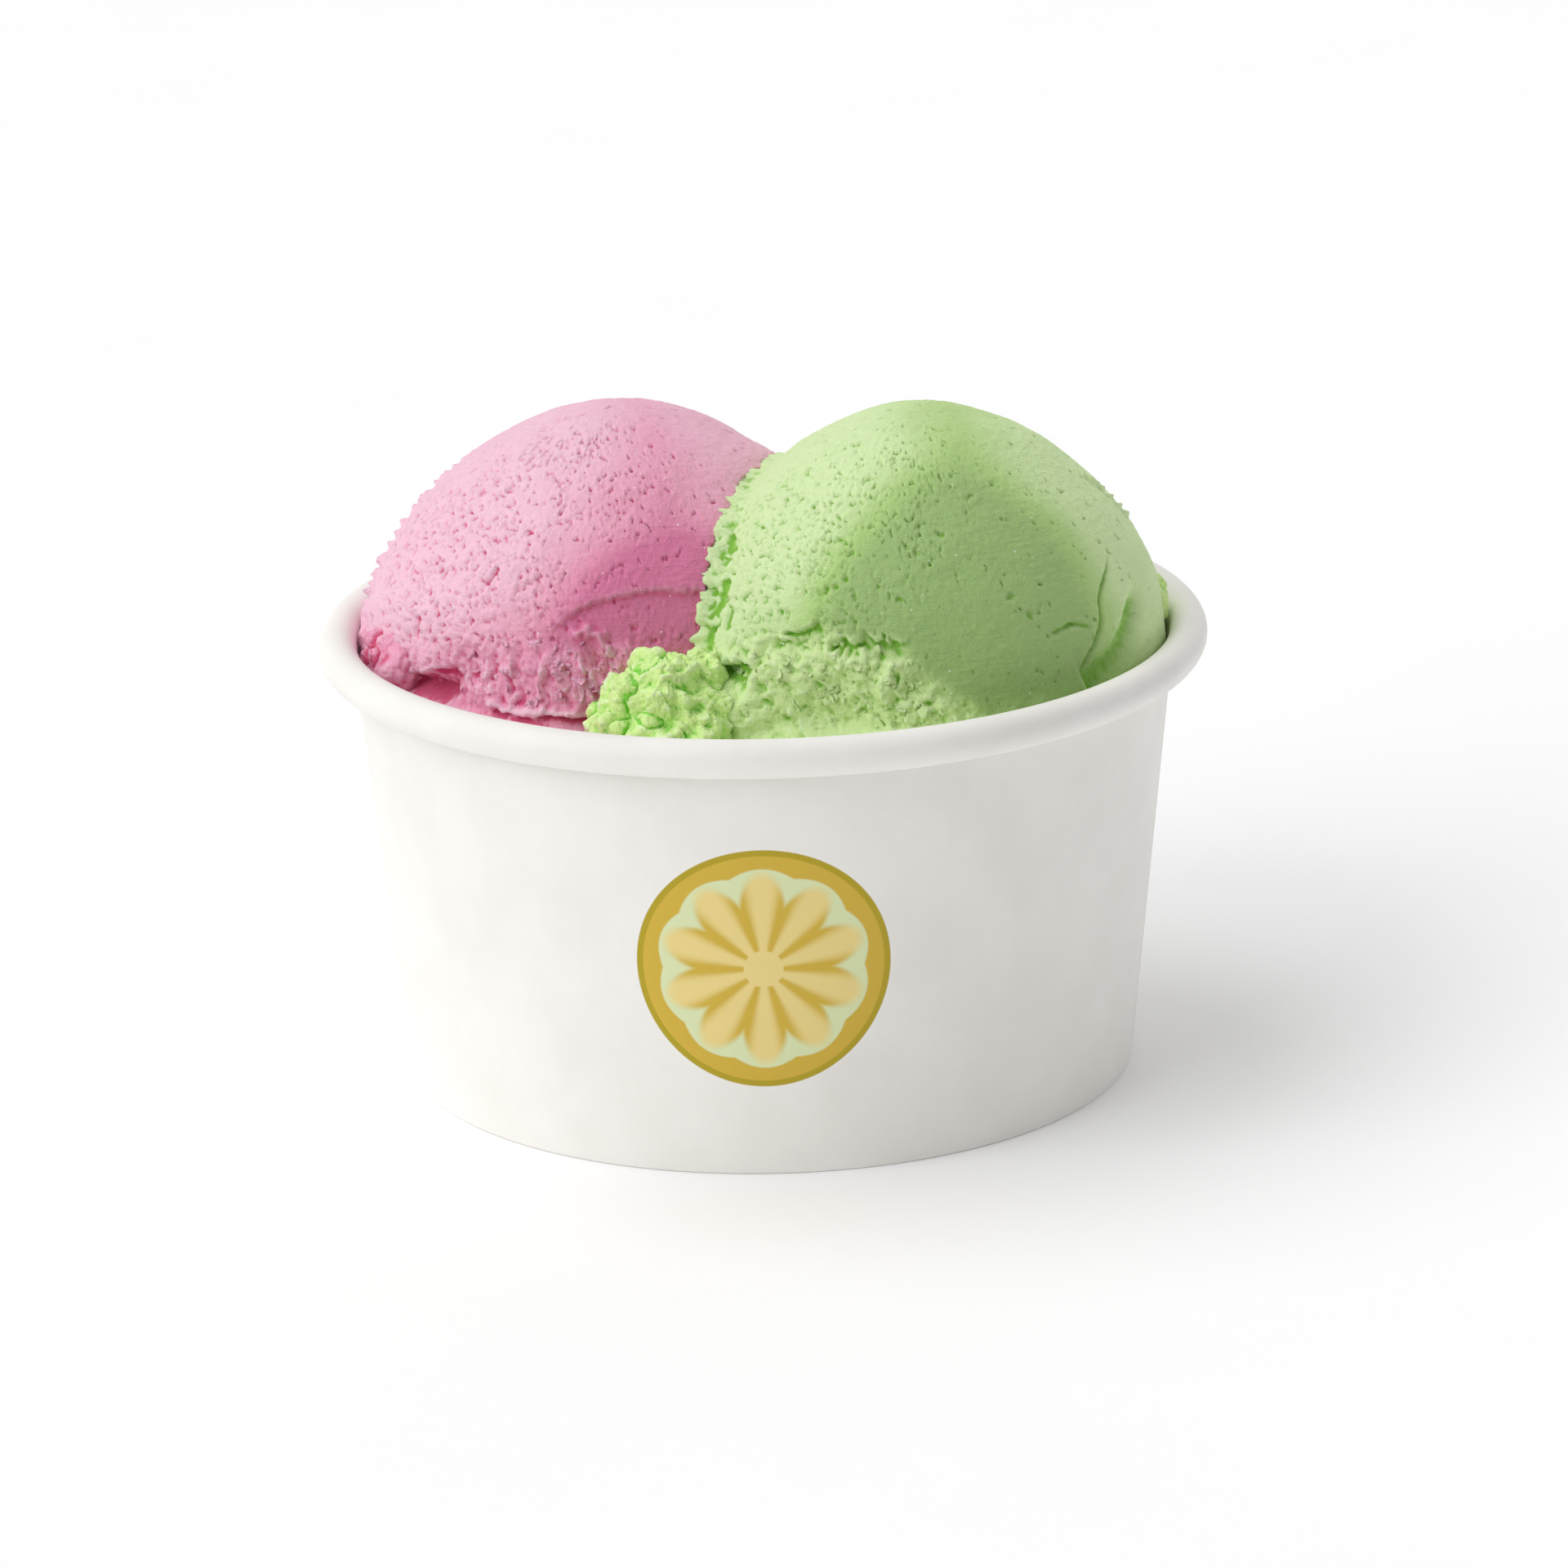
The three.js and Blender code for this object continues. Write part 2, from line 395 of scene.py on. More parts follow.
bead = (BEAD_CENTRE, BEAD_HEIGHT)
inner_foot = (FOOT_RADIUS - PAPER + WALL_SLOPE * FLOOR_TOP, FLOOR_TOP)
hem = FOOT_RADIUS - HEM_INSET
hem_top = (hem + WALL_SLOPE * HEM_HEIGHT, HEM_HEIGHT)
wall_profile = np.concatenate([
    line(inner_foot, (WALL_TOP - PAPER, BEAD_HEIGHT), INNER_ROWS),
    arc(bead, BEAD_RADIUS, 180, 180 - BEAD_TURN, BEAD_ROWS),
    arc(bead, BEAD_RADIUS - PAPER, 180 - BEAD_TURN, 180, UNDER_ROWS),
    line((WALL_TOP, BEAD_HEIGHT - 0.2), (FOOT_RADIUS + 0.01, FOOT_ROUND), OUTER_ROWS),
    arc((FOOT_RADIUS - FOOT_ROUND, FOOT_ROUND), FOOT_ROUND, 0, -90, 5),
    arc((hem + FOOT_ROUND, FOOT_ROUND), FOOT_ROUND, -90, -180, 5),
    line((hem, 0.5), hem_top, 8),
    line(hem_top, inner_foot, 4),
])
angles = ring_angles(WALL_COLUMNS)
from_back = (angles % 360 - 180) * np.radians(1) * FOOT_RADIUS
overlap = smooth(from_back, -SEAM_WIDTH / 2, -SEAM_WIDTH / 2 + SEAM_EDGE) * (
    1 - smooth(from_back, SEAM_WIDTH / 2, SEAM_WIDTH / 2 + SEAM_FADE)
)
first_outer = INNER_ROWS + BEAD_ROWS + UNDER_ROWS
on_outside = np.zeros((len(wall_profile), 1))
on_outside[first_outer : first_outer + OUTER_ROWS + 1] = 1
cup_wall = make_mesh("paper_wall", spin(wall_profile, angles, SEAM_STEP * overlap * on_outside), True)

# %% [markdown]
# ## The cup's floor
# The floor is a disc of the same board with its edge folded down. The wall's hem is folded in
# over that edge and pressed, so the floor sits a few millimetres above the table.

# %% Cup floor
FLANGE_END = 1.1
FOLD_ROUND = 0.6
FLOOR_COLUMNS = 240

floor_profile = np.concatenate([
    [(0, FLOOR_TOP)],
    line((0.5, FLOOR_TOP), (FLOOR_RADIUS - FOLD_ROUND, FLOOR_TOP), 14),
    arc((FLOOR_RADIUS - FOLD_ROUND, FLOOR_TOP - FOLD_ROUND), FOLD_ROUND, 90, 0, 6),
    line((FLOOR_RADIUS - 0.02, FLOOR_TOP - 1), (FLOOR_RADIUS - 0.5, FLANGE_END), 8),
    line((FLOOR_RADIUS - 0.5, FLANGE_END), (FLOOR_RADIUS - 0.9, FLANGE_END), 2),
    line((FLOOR_RADIUS - 1, FLANGE_END), (FLOOR_RADIUS - FOLD_ROUND, FLOOR_TOP - 1), 8),
    line((FLOOR_RADIUS - 1, FLOOR_TOP - PAPER), (0.5, FLOOR_TOP - PAPER), 14),
    [(0, FLOOR_TOP - PAPER)],
])
cup_floor = make_mesh("paper_floor", spin(floor_profile, ring_angles(FLOOR_COLUMNS)))

# %% [markdown]
# ## Directions on a dome
# A scoop is nearly a ball, so a place on it is a direction from its centre. Two angles name
# it: degrees down from the crown, and degrees round from the front towards the right.

# %% Directions


def polar(directions):
    """Degrees down from the crown, and degrees round from the front towards the right."""
    down = np.degrees(np.arccos(np.clip(directions[..., 2], -1, 1)))
    around = np.degrees(np.arctan2(directions[..., 0], -directions[..., 1]))
    return down, around


def heading(around, down):
    """The unit vector of those two angles."""
    down, around = np.radians(down), np.radians(around)
    return np.stack(
        [np.sin(down) * np.sin(around), -np.sin(down) * np.cos(around), np.cos(down)], -1
    )


def unit(vectors):
    """The vectors at length one."""
    return vectors / np.linalg.norm(vectors, axis=-1, keepdims=True)


print("front of the waist lies at", heading(0, 90).round(3))

# %% [markdown]
# ## The form of a scoop
# A spring scoop leaves a dome that is round at its crown and a little wider at its waist,
# because the soft gelato settles. Long waves make it uneven, lobes swell out of it, and under
# its waist a skirt of pressed gelato runs out to the cup's wall. A subdivided ball could be
# sculpted into this, but a rule in numbers can be read and changed.

# %% Form of the scoops
WIDENING = 1.7
WAIST = (40, 85)
UNEVENNESS = 0.3
SKIRT_WAVE = 5
SKIRT_REACH = 70
GREEN_SHARE = 17.4
GAP = 0.3

SCOOPS = {
    "pink": {
        "node": "pink_scoop", "phase": 0.8, "skirt": (95, 115),
        "lobes": [((-26, -4, 7), 1.2, 0.4), ((-27, -8, -5), 2.2, 0.3),
                  ((-10, -25, -9), 2.4, 0.3), ((-10, 24, -9), 2.2, 0.32)],
    },
    "green": {
        "node": "green_scoop", "phase": 2.9, "skirt": (97, 116),
        "lobes": [((-25, -22, -5), 6, 0.26), ((-24, -6, 7), 1.5, 0.4), ((3, -26, -11), 2.4, 0.34),
                  ((25, 9, -2), 1.6, 0.16), ((8, 26, -10), 2.6, 0.32)],
    },
}


def waves(d, phase):
    """Long waves over a dome, from about -1 to 1: two products of sines, one slow, one quick."""
    x, y, z = d[..., 0], d[..., 1], d[..., 2]
    slow = np.sin(3.1 * x + 1.7 * z + phase) * np.cos(2.7 * y - 1.3 * z - phase)
    quick = np.sin(7.3 * x - 5.1 * y + 2 * phase) * np.cos(6.1 * z + 4.3 * y + phase)
    return 0.6 * slow + 0.4 * quick


def cup_reach(centre, d):
    """How far a ray from centre runs before it meets the cup's inner face or its floor. The
    wall is a cone, so the distance is the root of a quadratic."""
    inner = FOOT_RADIUS - PAPER - GAP + WALL_SLOPE * centre[2]
    a = d[..., 0] ** 2 + d[..., 1] ** 2 - (WALL_SLOPE * d[..., 2]) ** 2
    b = d[..., 0] * centre[0] + d[..., 1] * centre[1] - WALL_SLOPE * inner * d[..., 2]
    c = centre[0] ** 2 + centre[1] ** 2 - inner**2
    a = np.maximum(a, 1e-6)
    to_wall = (np.sqrt(np.maximum(b * b - a * c, 0)) - b) / a
    to_floor = (FLOOR_TOP + GAP - centre[2]) / np.minimum(d[..., 2], -1e-6)
    return np.minimum(to_wall, to_floor)


def form(scoop, d):
    """Distance from the centre to the scoop's surface along each direction: crown radius plus
    widening, waves and lobes, blended into the skirt's long reach below the waist."""
    down, _ = polar(d)
    wave = waves(d, scoop["phase"])
    dome = scoop["radius"] + WIDENING * smooth(down, *WAIST) + UNEVENNESS * wave
    for towards, height, spread in scoop["lobes"]:
        turn = np.arccos(np.clip(d @ unit(np.array(towards, float)), -1, 1))
        dome = dome + height * np.exp(-((turn / spread) ** 2))
    skirt = smooth(down + SKIRT_WAVE * wave, *scoop["skirt"])
    reach = np.full(down.shape, float(SKIRT_REACH))
    if scoop["share"]:
        reach = np.minimum(reach, scoop["share"] / np.maximum(d @ scoop["other"], 1e-3))
    reach = dome + (np.maximum(reach, dome / 2) - dome) * skirt
    return np.minimum(reach, cup_reach(scoop["centre"], d))


print("lobes:", {name: len(scoop["lobes"]) for name, scoop in SCOOPS.items()})

# %% [markdown]
# ## Where the domes are
# The frame was made by the same rule, so each dome's centre and crown radius are found as the
# sphere that fits the frame's dome best once the widening is taken off. The two scoops press
# on each other along the level line between their centres.

# %% Fitting the domes
FIT_ABOVE = 5
FIT_ROUNDS = 25
FIT_SHARE = 0.66


def fit_dome(node):
    """Centre and crown radius: a least-squares sphere through the upper vertices of the
    frame's dome, each first moved in by its widening. The worst third is left out each time,
    because the lobes and the face towards the other scoop don't belong to the sphere."""
    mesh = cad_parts[node].data
    points = np.empty(len(mesh.vertices) * 3)
    mesh.vertices.foreach_get("co", points)
    points = points.reshape(-1, 3) / METRE
    points = points[points[:, 2] > CUP_HEIGHT + FIT_ABOVE]
    centre, kept = points.mean(0) - [0, 0, 12], points
    for _ in range(FIT_ROUNDS):
        away = unit(kept - centre)
        core = kept - away * (WIDENING * smooth(polar(away)[0], *WAIST))[:, None]
        solved = np.linalg.lstsq(
            np.column_stack([2 * core, np.ones(len(core))]), (core**2).sum(1), rcond=None
        )[0]
        centre = solved[:3]
        radius = np.sqrt(solved[3] + centre @ centre)
        away = unit(points - centre)
        ideal = radius + WIDENING * smooth(polar(away)[0], *WAIST)
        error = np.abs(np.linalg.norm(points - centre, axis=1) - ideal)
        kept = points[error <= np.quantile(error, FIT_SHARE)]
    return centre, float(radius)


for name, scoop in SCOOPS.items():
    scoop["centre"], scoop["radius"] = fit_dome(scoop["node"])
    print(name, "dome centre", scoop["centre"].round(2), "radius", round(scoop["radius"], 2))
between = (SCOOPS["pink"]["centre"] - SCOOPS["green"]["centre"]) * [1, 1, 0]
SCOOPS["green"].update(other=unit(between), share=GREEN_SHARE)
SCOOPS["pink"].update(other=-unit(between), share=0)

# %% [markdown]
# ## Noise
# Frozen gelato is full of small accidents: burst bubbles, ice grains, flakes that the scoop
# tore loose. All of it comes from one rule that turns a whole-number cell of space into
# random numbers, always the same ones. Smooth noise mixes random slopes at the corners of a
# cell, and the same noise in steps gives torn layers.

# %% Noise


def random_at(cells, seed):
    """Three even random numbers from 0 to 1 for each whole-number cell, by mixing its bits."""
    c = cells.astype(np.int64).astype(np.uint32)
    mixed = c[..., 0] * np.uint32(73856093) ^ c[..., 1] * np.uint32(19349663)
    mixed = mixed ^ c[..., 2] * np.uint32(83492791) ^ np.uint32(seed * 7919)
    numbers = []
    for _ in range(3):
        mixed = (mixed ^ (mixed >> np.uint32(16))) * np.uint32(2246822507)
        mixed = (mixed ^ (mixed >> np.uint32(13))) * np.uint32(3266489909)
        mixed = mixed ^ (mixed >> np.uint32(16))
        numbers.append(mixed / 2.0**32)
    return np.stack(numbers, -1)


def noise(points, size, seed):
    """Smooth noise from about -1 to 1, with bumps about size wide."""
    scaled = points / size
    cell = np.floor(scaled)
    t = scaled - cell
    ease = t * t * t * (t * (t * 6 - 15) + 10)
    total = 0
    for corner in product((0, 1), repeat=3):
        slope = random_at(cell + corner, seed) * 2 - 1
        share = np.prod(np.where(corner, ease, 1 - ease), -1)
        total = total + share * ((t - corner) * slope).sum(-1)
    return total * 1.7


def shift(points, size, amount, seed):
    """The points moved about by noise, so that shapes made from them get ragged outlines."""
    moved = [noise(points, size, seed + k) for k in range(3)]
    return points + amount * np.stack(moved, -1)


def ledges(points, size, seed, steps=3):
    """Noise that climbs in steps, as torn layers do: flat on each step, with a crisp riser."""
    value = noise(points, size, seed) * steps
    level = np.floor(value)
    return (level + smooth(value - level, 0.84, 1) + 0.2 * (value - level)) / steps


print("noise along a line:", noise(np.linspace([0, 0, 0], [3, 0, 0], 7), 1, 0).round(2))

# %% [markdown]
# ## Nicks and flakes
# Noise alone makes waves, and a nick or a flake has a shape. So each cell of space holds one
# small shape at a random place and turn, and every point looks at the cells around it for
# shapes that reach it.

# %% Nicks and flakes


def around_cells(points, size, seed):
    """For each of the 27 cells round a point: the way from that cell's own random place to
    the point, in cell widths, and two sets of three random numbers of that cell."""
    cell = np.floor(points / size)
    for corner in product((-1, 0, 1), repeat=3):
        home = cell + corner
        yield points / size - home - random_at(home, seed), random_at(home, seed + 1), random_at(
            home, seed + 2
        )


def split(offset, d, turn):
    """An offset as its parts across, along and out of the surface, after a turn in it."""
    east = unit(np.stack([-d[..., 1], d[..., 0], 1e-9 + 0 * d[..., 0]], -1))
    south = np.cross(d, east) * -1
    x, y = (offset * east).sum(-1), (offset * south).sum(-1)
    cos, sin = np.cos(turn), np.sin(turn)
    return x * cos + y * sin, y * cos - x * sin, (offset * d).sum(-1)


def pits(points, d, size, share, seed):
    """Depth from 0 to 1 of small nicks, longer down the dome than across it. A cell has its
    nick where its random number is below share, which may change over the surface."""
    depth = np.zeros(len(points))
    side = smooth(polar(d)[0], 20, 60)
    twist = 6 - 4.2 * side
    for offset, first, second in around_cells(points, size, seed):
        across, along, out = split(offset, d, (first[..., 0] - 0.5) * twist)
        wide, tall = 0.15 + 0.13 * first[..., 1], (0.24 + 0.26 * second[..., 0]) * (0.5 + 0.5 * side)
        far = np.sqrt((across / wide) ** 2 + (along / tall) ** 2 + (out / 0.6) ** 2)
        strength = (0.45 + 0.55 * first[..., 2]) * smooth(share - second[..., 2], 0, 0.08)
        depth = np.maximum(depth, strength * (1 - smooth(far, 0.3, 1)))
    return depth


def flakes(points, d, size, share, seed):
    """Height from 0 to 1 of torn flakes that lie over each other: a share of the cells hold
    one tilted plate each, with a sharp edge, and the highest plate shows."""
    height = np.zeros(len(points))
    for offset, first, second in around_cells(points, size, seed):
        across, along, out = split(offset, d, (first[..., 0] - 0.5) * 2)
        far = np.sqrt((across / (0.2 + 0.3 * second[..., 0])) ** 2 + (along / 0.75) ** 2
                      + (out / 0.8) ** 2)
        plate = 0.3 + 0.5 * first[..., 1] + across * (second[..., 1] - 0.5) * 1.5 + 0.4 * along
        height = np.maximum(height, plate * (1 - smooth(far, 0.8, 1)) * (second[..., 2] < share))
    return height


ball_spots = unit(np.random.default_rng(0).normal(size=(500, 3)))
nicked = pits(25 * ball_spots, ball_spots, 1, 0.5, 0) > 0
print("where half the cells have a nick, the nicked part is", nicked.mean().round(2))

# %% [markdown]
# ## Strokes
# Some marks have a place of their own: the crescent where the scoop's edge pressed in, cracks,
# a groove that a spoon left. Each is a stroke along a smooth curve on the dome, given by a few
# knots as (degrees round, degrees down). A curve in space could be bent onto the dome by hand,
# but two angles keep it on the surface by themselves.

# %% Curves on a dome


def curve_through(knots, steps=6):
    """A smooth curve through the knots: between two of them runs a cubic that leaves each
    knot along the line between its neighbours."""
    knots = np.asarray(knots, float)
    p = np.vstack([2 * knots[0] - knots[1], knots, 2 * knots[-1] - knots[-2]])
    t = np.linspace(0, 1, steps, endpoint=False)[None, :, None]
    a, b, c, d = (p[k : len(p) - 3 + k, None] for k in range(4))
    curve = b + 0.5 * t * ((c - a) + t * ((2 * a - 5 * b + 4 * c - d) + t * (3 * b - a - 3 * c + d)))
    return np.vstack([curve.reshape(-1, knots.shape[1]), knots[-1:]])


def beside(d, route, radius, reach):
    """For each direction: millimetres across the route, positive to the right, the share of
    the route walked so far, and millimetres walked. Directions out of reach get a big value."""
    walk = radius * heading(*curve_through(route).T)
    start, edge = walk[:-1], np.diff(walk, axis=0)
    lengths = np.linalg.norm(edge, axis=1)
    middle = unit(walk.mean(0))
    widest = np.arccos(np.clip(unit(walk) @ middle, -1, 1)).max() + reach / radius
    near = np.flatnonzero(d @ middle > np.cos(min(widest, 3)))
    across, share = np.full(len(d), 1e3), np.zeros(len(d))
    here = d[near] * radius
    offset = here[:, None] - start
    t = np.clip((offset * edge).sum(-1) / lengths**2, 0, 1)
    offset = offset - t[..., None] * edge
    best = (offset**2).sum(-1).argmin(1)
    pick = np.arange(len(near)), best
    offset, t = offset[pick], t[pick]
    side = np.sign((np.cross(edge[best], d[near]) * offset).sum(-1) + 1e-12)
    across[near] = side * np.linalg.norm(offset, axis=1)
    share[near] = ((np.cumsum(lengths) - lengths)[best] + t * lengths[best]) / lengths.sum()
    return across, share, share * lengths.sum()


print("steps between two knots:", len(curve_through([(0, 0), (1, 1)])) - 1)

# %% [markdown]
# ## Cuts
# A cut is a height that depends on the distance across its curve. A groove sinks along the
# curve, and rises as a ridge where its depth is below zero. A ledge drops to the right of
# somebody who walks along it and comes back up further away. A fin is a thin burr with teeth,
# which the gap between the scoop's bowl and its wiper leaves. Noise added to the distance
# makes the edges ragged.

# %% Cuts along a curve


def fade(share, start, end):
    """Full strength in a stroke's middle, and none at its two ends."""
    return smooth(share, 0, start) * (1 - smooth(share, 1 - end, 1))


def groove(across, share, depth, width, ends=(0.2, 0.2)):
    """Depth times a bell across the stroke, whose width at its start and end may differ."""
    wide = np.interp(share, [0, 1], np.broadcast_to(width, 2))
    return -depth * np.exp(-((across / wide) ** 2)) * fade(share, *ends)


def ledge(across, share, depth, edge=0.35, back=8, ends=(0.2, 0.2)):
    """A drop of depth right of the stroke over edge, that is gone again after back."""
    drop = smooth(across, -edge / 2, edge / 2) * (1 - smooth(across, edge, back))
    return -depth * drop * fade(share, *ends)


def fin(across, share, height, width, teeth, ends=(0.2, 0.1)):
    """A thin torn fin: teeth, from 0 to 1, say how much of its height is left."""
    tall = np.interp(share, [0, 1], np.broadcast_to(height, 2))
    return tall * teeth * np.exp(-((across / width) ** 2)) * fade(share, *ends)


def carve(d, radius, strokes, seed):
    """What all the strokes together add to the radius, in millimetres."""
    change = np.zeros(len(d))
    for number, (cut, route, values) in enumerate(strokes):
        values = dict(values)
        ragged, pitch = values.pop("ragged", 0.25), values.pop("pitch", 0)
        across, share, walked = beside(d, route, radius, values.get("back", 6) + 2)
        if pitch:
            spot = np.stack([walked, 0.25 * across, 0 * walked + 7 * number], -1)
            values["teeth"] = np.clip(1.25 - 2.4 * np.abs(noise(spot, pitch, seed + 31)), 0.1, 1)
        across = across + ragged * noise(d * radius, 0.9, seed + number)
        change += cut(across, share, **values)
    return change


print("in the middle of a groove a millimetre deep:", groove(0, 0.5, 1, 1), "mm")

# %% [markdown]
# ## The strokes of each scoop
# The pink scoop has the wiped crescent, the broken edge at its foot, and a torn burr down its
# left side. The green one has cracks and a wide groove at its right, a burr near its crown,
# and a few short scratches, which a loop makes because they differ only in their place.

# %% Strokes of the two scoops
PINK_STROKES = [
    (ledge, [(-20, 77.5), (-16, 75), (-9, 70), (-4, 68), (1, 67), (10, 66), (24, 68), (36, 72)],
     {"depth": 0.65, "edge": 0.55, "back": 13, "ends": (0.2, 0.1), "ragged": 0.3}),
    (ledge, [(-70, 91), (-60, 90), (-51, 90), (-45, 88), (-38, 86)],
     {"depth": 1.5, "edge": 0.4, "back": 5, "ragged": 0.6}),
    (groove, [(-62, 94), (-54, 93.5), (-47, 93), (-40, 94)], {"depth": 1.6, "width": 0.9}),
    (ledge, [(-33, 92), (-29, 93), (-25, 94), (-19, 94), (-13, 94), (-6, 95), (6, 95)],
     {"depth": 1.0, "edge": 0.3, "back": 4}),
    (groove, [(-33, 91.4), (-29, 92.4), (-25, 93.4), (-13, 93.4), (-6, 94.4)],
     {"depth": -0.9, "width": 0.5, "ragged": 0.3}),
    (groove, [(-12, 76.5), (-8, 75), (-4.5, 76), (-3, 78.5), (-1.5, 81)],
     {"depth": -0.9, "width": 0.5, "ragged": 0.5}),
    (groove, [(-97, 58), (-91, 70), (-86, 80), (-79, 88)],
     {"depth": 0.7, "width": 0.8, "ragged": 0.9}),
    (groove, [(-55.5, 77), (-55, 79), (-54, 83)], {"depth": 0.9, "width": 0.28, "ragged": 0.1}),
] + [
    (cut, [(-112, 36), (-105, 50), (-99, 62), (-93, 74), (-87, 84), (-80, 93)], values)
    for cut, values in ((ledge, {"depth": 0.7, "edge": 0.4, "back": 5}),
                        (fin, {"height": (0.3, 1.2), "width": 0.6, "pitch": 1.4}))
]
GREEN_STROKES = [
    (ledge, [(-68, 89), (-58, 87.5), (-50, 86), (-40, 85)],
     {"depth": 1.8, "edge": 0.4, "back": 5, "ragged": 0.6}),
    (groove, [(-58, 90.5), (-52, 89.5), (-46, 89)], {"depth": 0.2, "width": 2.6}),
    (groove, [(-53.5, 74), (-53, 77), (-52, 80)], {"depth": 0.9, "width": 0.28, "ragged": 0.1}),
    (ledge, [(-40, 79), (-33, 77), (-27, 72)], {"depth": 1.0, "edge": 0.3, "back": 3, "ragged": 0.7}),
    (groove, [(-25, 79), (-20, 79), (-14, 78)], {"depth": 1.2, "width": 0.5, "ragged": 0.7}),
    (ledge, [(-17, 75), (-10, 77), (-3, 76)],
     {"depth": 1.0, "edge": 0.3, "back": 3, "ends": (0.3, 0.4), "ragged": 0.9}),
    (groove, [(-9, 80), (-9, 86), (-11, 92)], {"depth": -0.8, "width": 1.1, "ragged": 0.1}),
    (groove, [(64, 60), (58, 66), (54, 69), (49, 73), (47, 78), (44, 82), (41, 86), (39, 90)],
     {"depth": 0.5, "width": 0.3, "ends": (0.35, 0.1), "ragged": 0.1}),
    (groove, [(70, 73), (63, 78), (57, 83), (51, 87), (45, 90), (40, 93)],
     {"depth": 1.5, "width": (1.1, 2.4), "ends": (0.3, 0.05), "ragged": 0.1}),
    (fin, [(86, 42), (89, 52), (92, 63)], {"height": 0.6, "width": 0.5, "pitch": 1.5}),
    (groove, [(30, 78.3), (38, 77), (44, 79)], {"depth": 0.5, "width": 0.28, "ragged": 0.1}),
] + [
    (groove, [(around - 0.8, down - 0.4), (around + 0.8, down + 0.4)],
     {"depth": 0.3, "width": 0.25, "ends": (0.01, 0.01), "ragged": 0.6})
    for around, down in ((-5, 35), (-2, 55), (30, 37), (22, 68), (26, 73), (37, 77))
]
print(len(PINK_STROKES), "strokes on pink,", len(GREEN_STROKES), "on green")

# %% [markdown]
# ## The skin of a scoop
# The steel bowl wipes most of a dome smooth, and drags some of it open: where it pulled, the
# skin is full of small nicks. Near the cup the gelato was torn off, and shows ragged flakes.
# The nicked patches, the pale patches of painted light on the lit left side and the grazing edges, and
# the darker patches of painted shade on the front are round, so each is a direction, a width and a
# strength. The line below which the gelato is torn goes up and down round the dome, and is given as
# degrees down for some degrees round.

# %% Patches of the skin
# Pale patches of painted light lie on the lit left side and on the grazing edges at the right and the
# back, and darker patches of painted shade lie on the front.
SKINS = {
    "pink": {
        "patches": [((-54, 76), 56, 1.35), ((-30, 38), 50, 0.6), ((12, 80), 20, 0.55),
                    ((170, 70), 50, 0.8)],
        "painted_light": [((-80, 50), 95, 1), ((150, 60), 80, 0.7), ((95, 45), 78, 0.75)],
        "painted_dark": [((14, 84), 40, 1)],
        "torn": [(-180, 82), (-110, 84), (-60, 85), (-38, 80), (-16, 76), (2, 77), (16, 84),
                 (60, 88), (120, 85)],
        "strokes": PINK_STROKES, "tall": 1.5, "rough": 0.8, "seed": 11,
    },
    "green": {
        "patches": [((-50, 70), 48, 1.2), ((-25, 42), 44, 0.6), ((150, 70), 50, 0.8)],
        "painted_light": [((-80, 50), 84, 1.1), ((150, 60), 80, 0.7), ((88, 60), 78, 0.95)],
        "painted_dark": [((10, 72), 48, 1)],
        "torn": [(-180, 84), (-120, 84), (-75, 82), (-45, 77), (-22, 74), (-8, 77), (4, 87),
                 (14, 95), (50, 99), (75, 93), (110, 86), (150, 84)],
        "strokes": GREEN_STROKES, "tall": 0.85, "rough": 0.6, "seed": 41,
    },
}


def near_patch(d, patches):
    """From 0 to 1 and above: the strongest patch counts, and each fades outwards."""
    share = np.zeros(len(d))
    for place, width, strength in patches:
        turn = np.degrees(np.arccos(np.clip(d @ heading(*place), -1, 1)))
        share = np.maximum(share, strength * (1 - smooth(turn, 0.3 * width, width)))
    return share


print("nicked patches:", {name: len(look["patches"]) for name, look in SKINS.items()})

# %% [markdown]
# ## The grid of a scoop
# The surface is moved in and out along its directions, on a grid that is finest in front and near the
# torn line. An even grid would need far more points for the same teeth. How deep each point lies under
# its surroundings is kept as a mark, because crevices get painted shade in a richer colour than the
# skin, and what stands up gets a painted highlight.

# %% Grid of a scoop
COLUMNS = 520
FRONT_BIAS = 0.5
ROW_BANDS = ((0.7, 30, 42), (30, 76, 84), (76, 100, 50), (100, 122, 9), (122, 178, 5))


def dome_grid():
    """Directions of a scoop's grid: rows are close together near the torn line, and columns
    are close together in front. angle = 360 (u - 1/2) + bias sin(2 pi u)."""
    down = np.concatenate([[0], *(line(*band) for band in ROW_BANDS), [180]])
    u = np.arange(COLUMNS) / COLUMNS
    around = 360 * (u - 0.5) + np.degrees(FRONT_BIAS) * np.sin(2 * np.pi * u)
    around, down = np.meshgrid(around, down)
    return heading(around, down)


def sunken(height, times):
    """How deep each grid point lies under the mean of its surroundings."""
    mean = height
    for _ in range(times):
        ends = np.vstack([mean[:1], mean, mean[-1:]])
        mean = (2 * mean + ends[:-2] + ends[2:] + np.roll(mean, 1, 1) + np.roll(mean, -1, 1)) / 6
    return mean - height


print("rows and columns of a scoop:", *dome_grid().shape[:2])

# %% [markdown]
# ## Torn gelato and nicks
# Frozen gelato breaks in layers, so torn relief is noise in steps with flakes on it. Where the
# bowl only dragged, it opened nicks. Both are sums of a few sizes, because one size alone
# looks like a pattern.

# %% Torn gelato and nicks
NICKS = ((0.45, 2.2, 0.08), (0.35, 1.3, 0.1), (0.25, 0.9, 0.15), (0.18, 0.65, 0.35))


